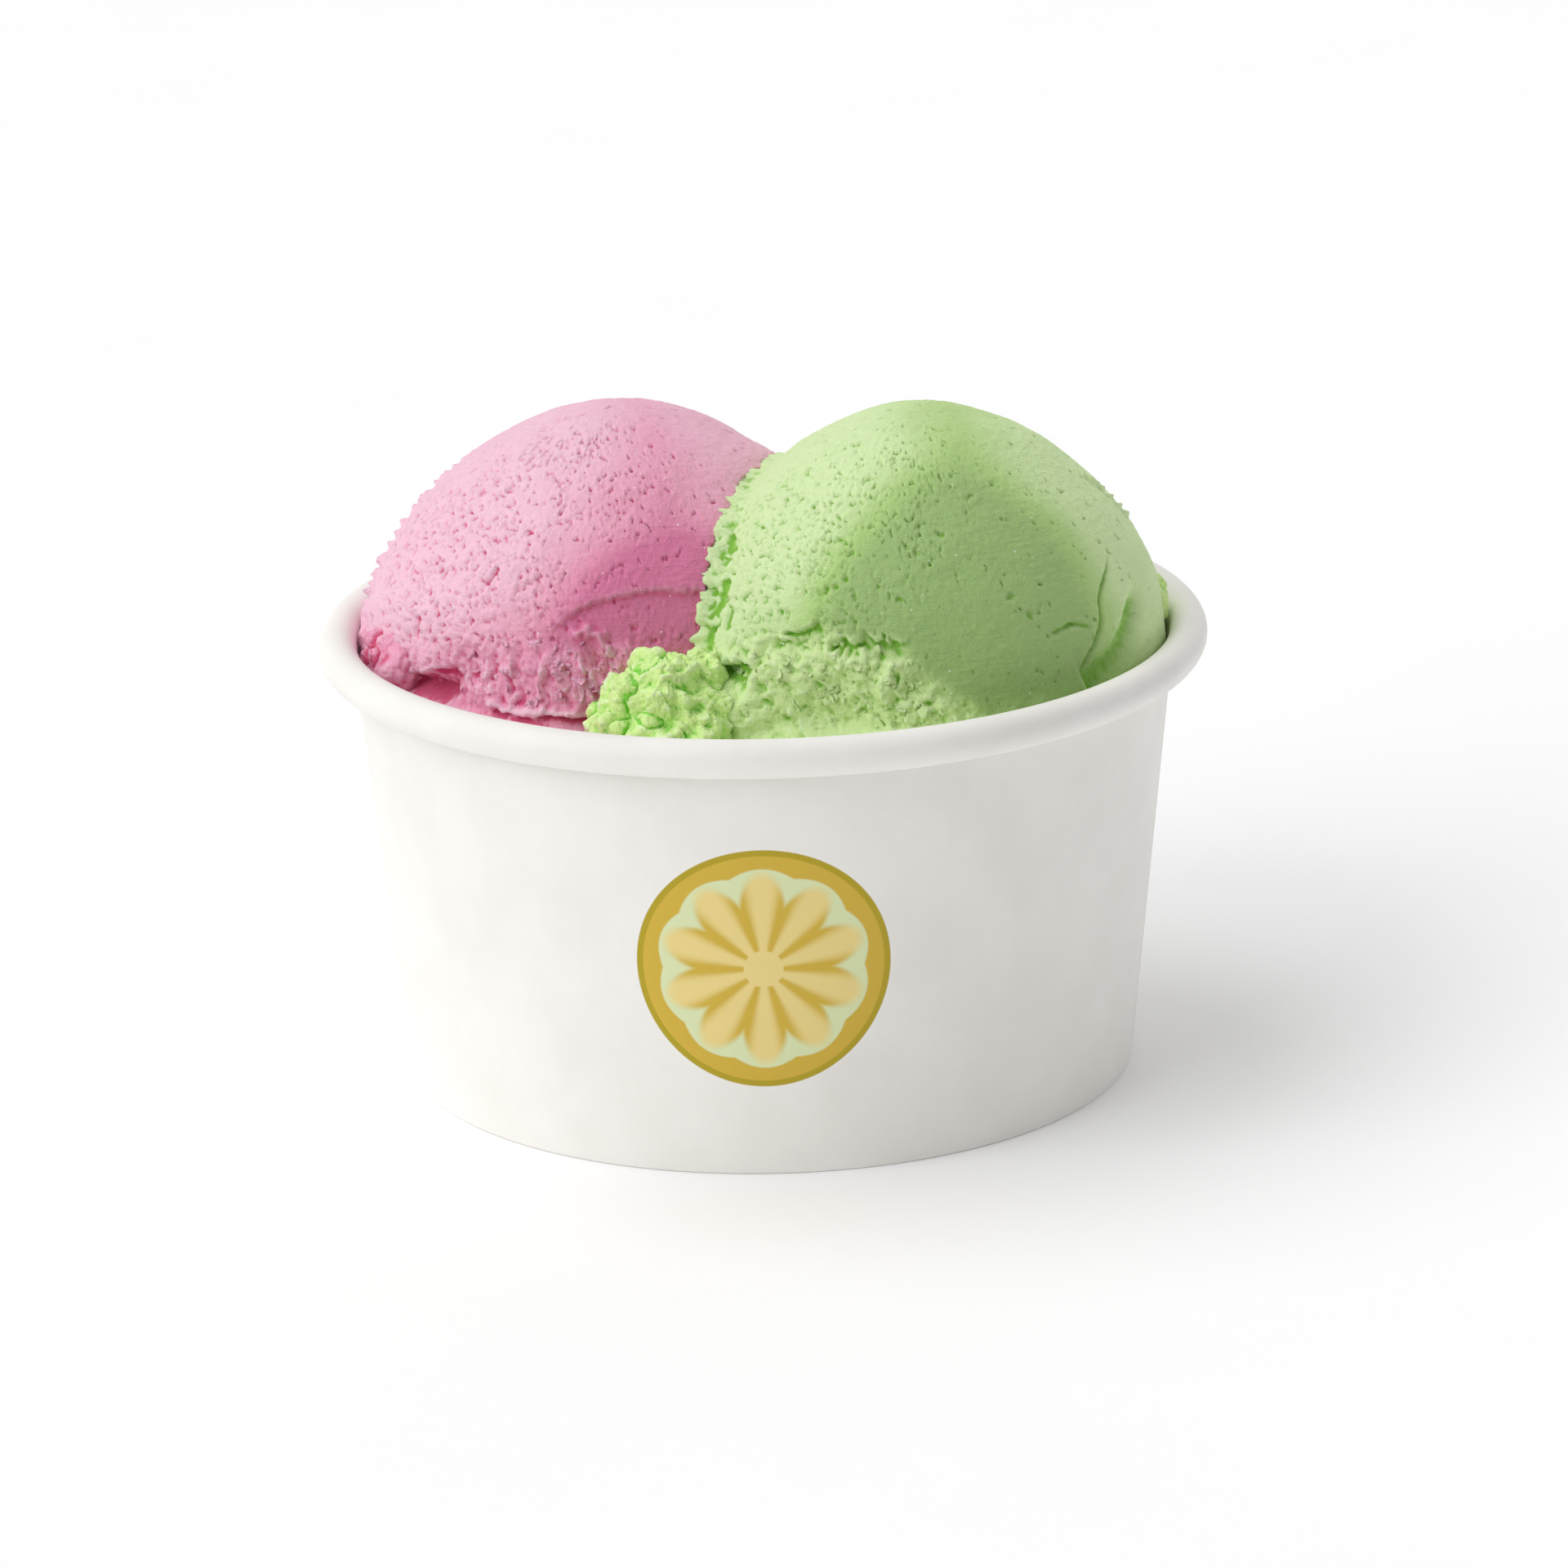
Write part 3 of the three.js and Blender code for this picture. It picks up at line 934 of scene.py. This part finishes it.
def tear(points, d, tall, seed):
    """Relief of torn gelato in millimetres: layers of two sizes that end in crisp steps, holes
    between them, flakes on top, and fluff. The layers are tall times as high as wide."""
    places = shift(points * [1, 1, 1 / tall], 0.9, 0.3, seed)
    relief = 1.0 * ledges(places, 3.8, seed + 3) + 0.7 * ledges(places, 1.7, seed + 4)
    relief -= 0.9 * pits(places, d, 2.8, 0.4, seed + 5) + 0.5 * pits(places, d, 1.2, 0.5, seed + 8)
    relief += 0.75 * flakes(places, d, 1.7, 0.45, seed + 11)
    return relief + 0.12 * noise(points, 0.7, seed + 14) + 0.1 * noise(points, 0.42, seed + 15)


def nicks(points, d, share, seed):
    """Depth in millimetres of what a dragging scoop opens: small holes in four sizes, each
    with a depth, a cell size and a part of the share, winding slits where noise crosses zero,
    and fine hollows and crumbs where noise is high and low. The larger share is, the more
    there are."""
    depth = np.zeros(len(points))
    places = shift(points, 0.7, 0.3, seed + 33)
    for deep, size, part in NICKS:
        depth += deep * pits(places, d, size, part * share, seed + int(10 * size))
    share = np.clip(share, 0, 1)
    slit = 1 - smooth(np.abs(noise(points * [1, 1, 0.7], 1, seed + 30)), 0.03, 0.2)
    limit = 0.5 - 0.6 * share
    depth += 0.32 * slit * smooth(noise(points, 0.8, seed + 31) - limit, 0, 0.25)
    ragged = noise(points, 0.55, seed + 32) + 0.4 * noise(points, 0.38, seed + 34)
    limit = 0.5 - 0.45 * share
    hollow = smooth(ragged, limit, 0.7) - 0.2 * smooth(-ragged, limit, 0.7)
    return depth + 0.2 * hollow * smooth(share, 0.1, 0.6)


print("deepest nick:", max(deep for deep, _, _ in NICKS), "mm")

# %% [markdown]
# ## Where the scoops meet
# The second scoop is pressed against the first, and soft gelato comes out between them as a
# thin lip with teeth. The distance from the other scoop's form tells where that happens, so
# the lip needs no line drawn by hand.

# %% Squeezed lip
LIP_HEIGHT = 1.25
FURROW_DEPTH = 0.45


def outside(points, neighbour):
    """How far points lie outside another scoop's form, in millimetres along its own rays."""
    away = points - neighbour["centre"]
    length = np.linalg.norm(away, axis=1)
    return length - form(neighbour, away / length[:, None])


def squeezed(points, d, neighbour, seed):
    """Where two scoops meet, gelato is squeezed out into a thin lip with teeth, which leans over the
    neighbour. Across the distance to the neighbour's form it is a bell at the line of contact. A broken
    furrow runs behind it, and is given as well, for painted shade in a richer colour."""
    far = outside(points, neighbour) + 0.4 * noise(points, 2.5, seed + 3)
    down, _ = polar(d)
    part = smooth(down, 30, 56) * (1 - smooth(down, 84, 94))
    teeth = np.clip(1.3 - 3 * np.abs(noise(points, 1.7, seed)), 0, 1)
    lip = LIP_HEIGHT * (0.5 + 0.8 * teeth) * np.exp(-(((far - 0.3) / 0.8) ** 2)) * part
    furrow = smooth(down, 52, 64) * (1 - smooth(down, 80, 88)) * np.exp(-(((far - 1.9) / 0.7) ** 2))
    furrow = furrow * smooth(noise(points, 1.3, seed + 1), -0.1, 0.2)
    return lip - FURROW_DEPTH * furrow, furrow


print("lip", LIP_HEIGHT, "mm high, furrow", FURROW_DEPTH, "mm deep")

# %% [markdown]
# ## The whole skin
# All that was made so far is added up over the form of a scoop. The pink scoop swells a little
# towards the green one, as soft gelato does when it is pressed.

# %% The whole skin
PRESSED = 0.45
LAST_ROWS = (98, 106)
LOW_IN_CUP = (41, 47)


def skin(scoop, look, d, base):
    """Relief of the skin in millimetres over the form: grain, nicks, flakes and strokes, with how torn
    it is and how much painted shade deep cuts and the furrow get. All that is fine ends low in the cup,
    where the form runs along its own directions and the rows of the grid are far apart."""
    seed = look["seed"]
    points = scoop["centre"] + d * base[:, None]
    down, around = polar(d)
    line_at = np.interp(around, *zip(*look["torn"]), period=360)
    ragged = down + 3 * noise(points, 6, seed + 5) + 2.5 * noise(points, 2.2, seed + 6)
    torn = smooth(ragged, line_at - 2, line_at + 7)
    share = np.maximum(near_patch(d, look["patches"]), 0.06)
    share *= np.clip(0.85 + 0.6 * noise(points, 5, seed + 7) + 0.9 * noise(points, 2, seed + 9), 0.1, 2)
    relief = 0.16 * noise(points, 9, seed) + 0.08 * noise(points, 3.5, seed + 1)
    grain = 0.05 * noise(points, 0.9, seed + 2) + 0.04 * noise(points, 0.5, seed + 3)
    fine = (1 - smooth(down, *LAST_ROWS)) * smooth(points[:, 2], *LOW_IN_CUP)
    relief += grain * (1 + 1.6 * share) * fine
    relief -= nicks(points, d, share, seed) * (1 - 0.8 * torn) * fine
    lower = np.flatnonzero(torn * fine > 0)
    rough = look["rough"] * torn[lower] * fine[lower]
    relief[lower] += rough * tear(points[lower], d[lower], look["tall"], seed + 20)
    cuts = carve(d, scoop["radius"] + WIDENING, look["strokes"], seed)
    # Deep cuts get painted shade in a richer colour.
    painted_shade = 0.18 * np.clip(-cuts - 0.6, 0, 1.2)
    if scoop["share"]:
        lip, furrow = squeezed(points, d, SCOOPS["pink"], seed + 40)
        # The furrow behind the lip gets painted shade as well.
        relief, painted_shade = relief + lip, painted_shade + 0.35 * furrow
    else:
        relief += PRESSED * (1 - smooth(outside(points, SCOOPS["green"]), 0.3, 6))
    return relief + cuts, torn, painted_shade


print("fine relief ends between", LOW_IN_CUP, "mm above the table")

# %% [markdown]
# ## Pressed together
# Two scoops that only touched would leave a dark slit, and two that crossed would hide faces
# in each other. So the pink scoop's rays stop where they have run a third of a millimetre
# into the green one. A Boolean modifier would do it as well, but it breaks up the grid.

# %% Rays that stop at a neighbour
OVERLAP = 0.35


def reach_at(star, way):
    """Distance to a gridded surface from its own centre along other directions, mixed from
    the four grid points around each."""
    down, around = polar(way)
    row = np.interp(down, star["rows"], np.arange(len(star["rows"])))
    columns = np.append(star["columns"], 180.0)
    column = np.interp(around, columns, np.arange(len(columns)))
    r, c = np.minimum(row.astype(int), len(star["rows"]) - 2), column.astype(int)
    fr, fc = row - r, column - c
    c, right = c % len(star["columns"]), (c + 1) % len(star["columns"])
    reach = star["reach"]
    upper = reach[r, c] * (1 - fc) + reach[r, right] * fc
    lower = reach[r + 1, c] * (1 - fc) + reach[r + 1, right] * fc
    return upper * (1 - fr) + lower * fr


def clear_of(centre, d, reach, blockers, gap):
    """Shortens rays that would run into other surfaces: each ray is walked outwards until it
    comes within the gap of one, and then the place is narrowed down by halving. A gap below
    zero lets the ray run that far into them."""

    def blocked(rays, distance):
        hit = np.zeros(len(rays), bool)
        for star in blockers:
            point = centre + rays * distance[:, None] - star["centre"]
            length = np.linalg.norm(point, axis=1)
            near = np.flatnonzero(length < star["reach"].max() + gap)
            hit[near] |= length[near] < reach_at(star, point[near] / length[near, None]) + gap
        return hit

    low, high = 0.1 * reach, reach.copy()
    open_way = np.ones(len(d), bool)
    for part in np.linspace(0.12, 1, 45):
        going = np.flatnonzero(open_way)
        hit = blocked(d[going], part * reach[going])
        high[going[hit]] = part * reach[going[hit]]
        open_way[going[hit]] = False
        low[going[~hit]] = part * reach[going[~hit]]
    met = np.flatnonzero(~open_way)
    for _ in range(8):
        middle = (low[met] + high[met]) / 2
        hit = blocked(d[met], middle)
        high[met], low[met] = np.where(hit, middle, high[met]), np.where(hit, low[met], middle)
    reach = reach.copy()
    reach[met] = low[met]
    return reach


print("overlap", OVERLAP, "mm")

# %% [markdown]
# ## A scoop's surface
# A surface is kept as its centre, its directions and how far it reaches along each, because
# that is what its neighbours ask for. It becomes a mesh only when all of them are done.

# %% Surface of the green scoop
SKIN_ROUNDS = 10


def scoop_surface(name, blockers=()):
    """A scoop's surface from its centre, how deep each point lies, how torn, and how much painted light
    or painted shade its colour gets.
    """
    scoop, look = SCOOPS[name], SKINS[name]
    grid = dome_grid()
    shape = grid.shape[:2]
    d = grid.reshape(-1, 3)
    base = form(scoop, d)
    relief, torn, painted_shade = skin(scoop, look, d, base)
    reach = np.minimum(base + relief, cup_reach(scoop["centre"], d))
    if blockers:
        reach = clear_of(scoop["centre"], d, reach, blockers, -OVERLAP)
    down, around = polar(grid)
    # Painted light, less the painted shade in front, as a mark for the colour.
    painted_light = near_patch(d, look["painted_light"]) - near_patch(d, look["painted_dark"])
    # The mark of depth carries that painted shade too.
    deep = sunken(relief.reshape(shape), SKIN_ROUNDS) + painted_shade.reshape(shape)
    return {
        "centre": scoop["centre"], "directions": grid, "rows": down[:, 0], "columns": around[1],
        "reach": reach.reshape(shape),
        "marks": {"deep": deep, "torn": torn.reshape(shape), "painted_light": painted_light.reshape(shape)},
    }


def star_points(star):
    """Grid points of a surface: its centre plus reach along each direction."""
    return star["centre"] + star["directions"] * star["reach"][..., None]


def star_mesh(name, star):
    """The object of such a surface, with its marks."""
    return make_mesh(name, star_points(star), **star["marks"])


surfaces = {"green": scoop_surface("green")}
green_reach = surfaces["green"]["reach"]
print("green scoop reaches", green_reach.min().round(1), "to", green_reach.max().round(1), "mm")

# %% [markdown]
# ## Torn lumps
# Where the scoop broke away from the tub, lumps of torn gelato stick to it. The biggest hangs
# at the green scoop's front, on the side of the pink one. A lump is a squashed ball round its
# own centre, broken into chunks with crisp edges, and torn finely on top of them. The green
# scoop and its lumps come first, because the pink one is pressed against all of them.

# %% Torn lumps
LUMP_ROUNDS = 24


def lump(centre, radii, seed, rows, knobs):
    """A ball with three radii. Chunks of two sizes, as high as the two knobs say, stand up in
    crisp steps, their edges are rounded by smooth noise, and torn relief is laid over that.
    Finer relief is read where the coarser one has put the surface, so that it isn't stretched
    on steep sides."""
    rings = np.linspace(0, 180, rows)
    around, down = np.meshgrid(ring_angles(2 * rows), rings)
    grid = heading(around, down)
    d = grid.reshape(-1, 3)
    centre = np.array(centre, float)
    base = 1 / np.linalg.norm(d / np.array(radii), axis=1)
    points = shift(centre + d * base[:, None], 1.5, 0.4, seed)
    relief = knobs[0] * (0.4 * ledges(points, 4.2, seed + 4) + 0.7 * noise(points, 3.8, seed + 5))
    points = centre + d * (base + relief)[:, None]
    relief += knobs[1] * (0.6 * ledges(points, 2, seed + 7) + 0.6 * noise(points, 1.7, seed + 8))
    points = centre + d * (base + relief)[:, None]
    relief += 0.3 * tear(points, d, 1, seed + 6)
    reach = np.minimum(base + relief, cup_reach(centre, d))
    # A lump carries half of the full painted light all over, and painted shade or a painted highlight
    # by how deep each point lies.
    deep = sunken(relief.reshape(grid.shape[:2]), LUMP_ROUNDS)
    return {
        "centre": centre, "directions": grid, "rows": rings, "columns": around[0],
        "reach": reach.reshape(grid.shape[:2]),
        "marks": {"deep": deep, "torn": 1 + 0 * deep, "painted_light": 0.5 + 0 * deep},
    }


LUMPS = {
    "green": {
        "torn_lump": lump((-10.1, -23.2, 43.9), (7.6, 7.8, 7.6), 71, 200, (2.4, 1.1)),
        "torn_side": lump((-6, -21.8, 49.5), (2.4, 2.4, 2.4), 83, 80, (1.2, 0.8)),
        "torn_right": lump((42, 1, 50.4), (2.2, 3.6, 2.6), 91, 90, (0.8, 0.6)),
    },
    "pink": {"torn_left": lump((-39.2, -4, 46), (3.2, 6, 4.4), 97, 90, (0.8, 0.5))},
}
surfaces["pink"] = scoop_surface("pink", [surfaces["green"], *LUMPS["green"].values()])

scoops, lumps = {}, {"green": [], "pink": []}
for name, star in surfaces.items():
    scoops[name] = star_mesh(f"{name}_gelato", star)
    for part, blob in LUMPS[name].items():
        lumps[name].append(star_mesh(f"{name}_{part}", blob))

# %% [markdown]
# ## Clumps
# A big lump falls apart into small ones at its edge. They are made by the same rule, grow out
# of the big lump at random places on its outward side, and are joined into one piece.

# %% Clumps on the lumps
CLUMP_ROWS = 44
CLUMP_SEED = 300
CLUMPS = (("green", "torn_lump", 16, (1.1, 2.4), (-150, 40)),
          ("pink", "torn_left", 5, (0.9, 1.6), (-150, 0)))


def joined(name, pieces):
    """Several objects made into one."""
    with bpy.context.temp_override(active_object=pieces[0], selected_editable_objects=pieces):
        bpy.ops.object.join()
    pieces[0].name = pieces[0].data.name = name
    return pieces[0]


def clumps(big, number, sizes, turns, seed):
    """Small lumps at random on the outward side of a big one, between two turns, with painted shade in
    a richer colour where they come out of it."""
    rng = np.random.default_rng(seed)
    made = []
    for place in range(number):
        way = heading(rng.uniform(*turns), rng.uniform(15, 105))
        size = rng.uniform(*sizes)
        centre = big["centre"] + way * (reach_at(big, way[None])[0] - 0.3 * size)
        radii = size * rng.uniform(0.8, 1.25, 3)
        small = lump(centre, radii, seed + place, CLUMP_ROWS, (0.45 * size, 0.35 * size))
        away = star_points(small) - big["centre"]
        length = np.linalg.norm(away, axis=2)
        under = reach_at(big, (away / length[..., None]).reshape(-1, 3)).reshape(length.shape)
        # Painted shade where a clump comes out of the big lump.
        small["marks"]["deep"] += 0.35 * (1 - smooth(length - under, 0, 1))
        made.append(small)
    return made


for name, part, number, sizes, turns in CLUMPS:
    small = clumps(LUMPS[name][part], number, sizes, turns, CLUMP_SEED)
    lumps[name].append(joined(f"{name}_clumps", [star_mesh("clump", blob) for blob in small]))

# %% [markdown]
# ## Shreds and crumbs
# Torn gelato ends in thin shreds that stand off the surface and catch the light, and a few
# loose crumbs lie between them. Both are small twisted balls of eighty faces, shreds much
# flatter than crumbs, pressed into the surface at random grid points. All of one colour and
# kind are joined into one piece.

# %% Shreds and crumbs
LOOSE = (("shreds", 140, (0.3, 0.65), 0.14), ("crumbs", 60, (0.12, 0.3), 0.6))
LOOSE_SEEDS = {"pink": 5, "green": 8}
LIFT = 0.04


def small_ball():
    """A ball of eighty faces: the twelve corners of an icosahedron, on three golden
    rectangles, and the middles of its thirty edges pushed out to the same distance."""
    golden = (1 + 5**0.5) / 2
    corners = unit(np.array([p for a in (-1, 1) for b in (-golden, golden)
                             for p in ((0, a, b), (a, b, 0), (b, 0, a))], float))
    near = np.linalg.norm(corners[:, None] - corners, axis=2) < 1.1
    edges = [(i, j) for i in range(12) for j in range(i) if near[i, j]]
    points = np.vstack([corners, unit(np.array([corners[i] + corners[j] for i, j in edges]))])
    middle = {frozenset(edge): 12 + number for number, edge in enumerate(edges)}
    faces = []
    for i, j, k in product(range(12), repeat=3):
        if i < j and i < k and j != k and near[i, j] and near[j, k] and near[i, k]:
            if np.linalg.det(points[[i, j, k]]) > 0:
                a, b, c = (middle[frozenset(pair)] for pair in ((i, j), (j, k), (k, i)))
                faces += [(i, a, c), (a, j, b), (c, b, k), (a, b, c)]
    return points, np.array(faces)


def scatter(name, flavour, number, sizes, flat, seed):
    """Small balls at random grid points of a scoop, mostly where it is torn. Flat is their
    thickness for each millimetre of width."""
    star = surfaces[flavour]
    points, torn = star_points(star), star["marks"]["torn"]
    sight = np.sin(np.radians(star["rows"]))[:, None] * (points[..., 2] > CUP_HEIGHT - 4)
    chance = (torn**2 * sight).reshape(-1)
    rng = np.random.default_rng(seed)
    chosen = rng.choice(chance.size, number, p=chance / chance.sum())
    ball, faces = small_ball()
    size = rng.uniform(*sizes, (number, 1, 1)) * np.stack(
        [rng.uniform(0.8, 1.5, number), rng.uniform(0.5, 0.9, number), np.full(number, flat)], -1
    )[:, None]
    out = star["directions"].reshape(-1, 3)[chosen]
    lean = unit(out + 0.55 * rng.normal(size=(number, 3)))
    side = unit(np.cross(lean, rng.normal(size=(number, 3))))
    axes = np.stack([side, np.cross(lean, side), lean], 1)
    bent = ball * rng.uniform(0.7, 1.3, (number, len(ball), 1)) * size
    bent[..., 2] += rng.uniform(-0.5, 0.9, (number, 1)) * bent[..., 0] ** 2 / sizes[1]
    centre = points.reshape(-1, 3)[chosen] + out * LIFT * rng.uniform(0, 1, (number, 1))
    placed = (centre[:, None] + bent @ axes).reshape(-1, 3)
    loops = (faces.reshape(-1) + len(ball) * np.arange(number)[:, None]).reshape(-1)
    flatness = np.zeros(len(placed))
    # Shreds and crumbs carry painted light all over, and a faint painted highlight because they stand
    # up.
    return raw_mesh(name, placed, loops, np.full(number * len(faces), 3),
                    {"deep": flatness - 0.12, "torn": flatness + 1, "painted_light": flatness + 0.6})


loose = {
    name: [scatter(f"{name}_{kind}", name, *values, seed + k)
           for k, (kind, *values) in enumerate(LOOSE)]
    for name, seed in LOOSE_SEEDS.items()
}

# %% [markdown]
# ## Paper and its print
# Coated cup board is a warm white with a faint cloud of fibres and a soft gloss. The front
# carries a print in gold and cream: a plain round rosette. It is drawn from the distance and
# the angle round its centre, with the arc length round the wall as one direction and the
# height as the other, so that it bends with the wall.

# %% Paper
PRINT_RADIUS = 13.4
PRINT_HEIGHT = 23.6
PRINT_MIDDLE = -0.6
PETALS = 10


def paper(name, printed):
    """Warm white board with fibres, and with the rosette where printed is true."""
    look = Finish(name)
    cloud, fibre = look.noise(9, 3), look.noise(0.35, 3)
    base = look.mix(cloud.step(0.3, 0.7), colour(243, 240, 235), colour(247, 245, 240))
    if printed:
        base = rosette(look, base)
    height = fibre * 0.6 + look.noise(1.6, 2) * 0.4
    return look.shade(
        Base_Color=base, Roughness=0.42 + 0.16 * cloud, Specular_IOR_Level=0.35,
        Normal=look.bump(height, 0.03),
    )


def rosette(look, base):
    """Rings by the distance from the print's centre, and petals by the angle round it."""
    x, y, z = (look.add("ShaderNodeSeparateXYZ", {}, {0: look.place}, axis) / METRE for axis in "XYZ")
    middle_radius = FOOT_RADIUS + WALL_SLOPE * PRINT_HEIGHT
    u = x.maths("ARCTAN2", x, y * -1) * middle_radius - PRINT_MIDDLE
    v = z - PRINT_HEIGHT
    far = (u * u + v * v) ** 0.5
    angle = u.maths("ARCTAN2", u, v)
    petal = u.maths("ABSOLUTE", u.maths("COSINE", angle * (PETALS / 2)))
    edge = far / PRINT_RADIUS
    gold, pale = colour(214, 180, 62), colour(240, 218, 142)
    cream, olive = colour(224, 233, 184), colour(184, 162, 30)
    tone = look.mix(petal.step(0.25, 0.95), gold, pale)
    tone = look.mix((edge - 0.24 * petal).step(0.5, 0.62), tone, cream)
    tone = look.mix((edge - 0.05 * petal).step(0.78, 0.8), tone, gold)
    tone = look.mix(edge.step(0.945, 0.955), tone, olive)
    tone = look.mix(1 - edge.step(0.15, 0.16), tone, pale)
    front = (y * -1).step(0, 1) * (1 - edge.step(0.995, 1.005))
    return look.mix(front, base, tone)


paper_outside = paper("paper_printed", True)
paper_inside = paper("paper_plain", False)
print("paper finishes:", paper_outside.name, paper_inside.name)

# %% [markdown]
# ## Gelato
# Gelato is ice, fat and air, so light goes in and comes out again a millimetre away, and that softens
# every edge. The richer colour that crevices take on instead of turning black is painted shade: the
# colour runs from a painted highlight on what stands up to painted shade in what lies deep, by the mark
# that was kept with the mesh. Painted glints stand for a few ice grains that catch the light.

# %% Gelato finish


def gelato(name, glow, inner, edges, pale, body, painted_dark, painted_shade, broken):
    """Pale where painted light falls, on the lit side and the grazing edges, body, and a darker tone
    where painted shade falls, on the wiped front; broken where torn, and a rich tone of painted shade
    where deep; cloudy, with painted glints, drag marks and a fine wet bump. Glow is the share of light
    that goes inside, inner a painted glow that a torn lump gives off, and edges how strong a painted
    highlight torn edges that stand up get."""
    look = Finish(name)
    deep, torn, painted_light = (
        look.add("ShaderNodeAttribute", {"attribute_name": mark}, {}, "Fac")
        for mark in ("deep", "torn", "painted_light")
    )
    cloud, grain = look.noise(7, 3), look.noise(0.55, 3)
    drag = look.add("ShaderNodeVectorMath", {"operation": "MULTIPLY"}, {0: look.place, 1: (1, 1, 7)})
    drag = look.noise(3, 3, Vector=drag)
    # Painted light makes the colour pale, and painted shade makes it darker, by the mark.
    painted_light_share = painted_light + 0.3 * (cloud - 0.5)
    # Where painted light is low, the darker tone is painted shade.
    base = look.mix(painted_light_share.step(0, 0.6), painted_dark, body)
    base = look.mix(painted_light_share.step(0.4, 1.1), base, pale)
    base = look.mix(torn * 0.85, base, broken)
    # Painted highlight: what stands up is paler, most of all on torn edges.
    painted_edge_light = (deep * -1 + 0.1 * (grain - 0.5)).step(0, 0.3)
    base = look.mix(painted_edge_light * (0.3 + edges * torn), base, pale)
    # Painted shade: what lies deep turns to the rich tone.
    base = look.mix((deep + 0.12 * (grain - 0.5)).step(0, 0.34), base, painted_shade)
    # Painted glints: small white spots in the colour, where ice grains would catch the light.
    spots = look.add(
        "ShaderNodeTexVoronoi", {}, {"Vector": look.place, "Scale": 1 / (1.7 * METRE)}, "Distance"
    )
    painted_glints = (1 - spots.step(0.04, 0.09)) * cloud.step(0.4, 0.5)
    base = look.mix(painted_glints * 0.55, base, (1, 1, 1, 1))
    height = grain * 0.6 + look.noise(0.22, 4) * 0.5 + drag * 0.8
    # Emission with inner is a painted glow: a torn lump gives off a little light of its own.
    return look.shade(
        Base_Color=base, Roughness=0.5 + 0.25 * grain, Specular_IOR_Level=0.3,
        Subsurface_Weight=glow, Subsurface_Radius=(1.0, 0.7, 0.6), Subsurface_Scale=0.45 * METRE,
        Sheen_Weight=0.6, Sheen_Roughness=0.6, Sheen_Tint=pale, Normal=look.bump(height, 0.2),
        Emission_Color=base, Emission_Strength=inner,
    )


# Each flavour has five tones: pale for painted light and painted highlights, the body, a darker tone
# for painted shade on the front, a rich tone for painted shade in crevices, and the broken tone of torn
# gelato.
SKIN_TONES = {
    "pink": [(250, 204, 223), (242, 163, 193), (219, 120, 162), (222, 84, 132), (246, 172, 203)],
    "green": [(215, 237, 180), (175, 209, 126), (156, 187, 117), (130, 190, 56), (220, 242, 174)],
}
CRUST_TONES = {
    "pink": [(252, 206, 224), (240, 158, 188), (232, 136, 170), (226, 88, 132), (242, 166, 196)],
    "green": [(238, 253, 208), (202, 240, 140), (192, 230, 130), (112, 208, 32), (216, 247, 154)],
}
skins = {name: gelato(f"{name}_gelato", 0.3, 0, 0.7, *(colour(*tone) for tone in tones))
         for name, tones in SKIN_TONES.items()}
# The torn lumps get a painted glow of 0.05.
crusts = {name: gelato(f"{name}_torn", 0, 0.05, 0.45, *(colour(*tone) for tone in tones))
          for name, tones in CRUST_TONES.items()}
print("gelato finishes:", *(finish.name for finish in (*skins.values(), *crusts.values())))

# %% [markdown]
# ## The floor's finish
# The sweep is matt white paper. A little light of its own keeps it white far away from the
# cup, as an overexposed sweep is, while the shadow beside the cup still shows.

# %% Floor finish
look = Finish("white_sweep")
fleck = look.noise(40, 2)
sweep = look.mix(fleck, colour(252, 252, 253), colour(254, 254, 254))
floor.data.materials.append(
    look.shade(Base_Color=sweep, Roughness=0.9, Specular_IOR_Level=0.1,
               Emission_Color=(1, 1, 1, 1), Emission_Strength=0.05)
)
print("floor finish:", look.material.name)

# %% [markdown]
# ## Joining the frame
# Nothing moves in a cup of gelato, so every piece rides on the one body. Each gets its finish, and the
# frame's plain solids that the cup and the scoops stand for are hidden.

# %% Riding and what is replaced


def settle(piece, material, slot, *nodes):
    """Gives a piece its material and body, and hides the frame nodes that it stands for. The slot is
    not used.
    """
    piece.data.materials.append(material)
    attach(piece, "root")
    if nodes:
        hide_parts(*nodes)


settle(cup_wall, paper_outside, "cup_paper", "cup_wall")
settle(cup_floor, paper_inside, "cup_floor", "cup_base")
for name, scoop in SCOOPS.items():
    slot = f"{name}_gelato"
    settle(scoops[name], skins[name], slot, scoop["node"])
    for piece in lumps[name]:
        settle(piece, crusts[name], slot)
    for piece in loose[name]:
        settle(piece, skins[name], slot)
print("pieces:", sum(1 + len(lumps[name]) + len(loose[name]) for name in SCOOPS) + 2)
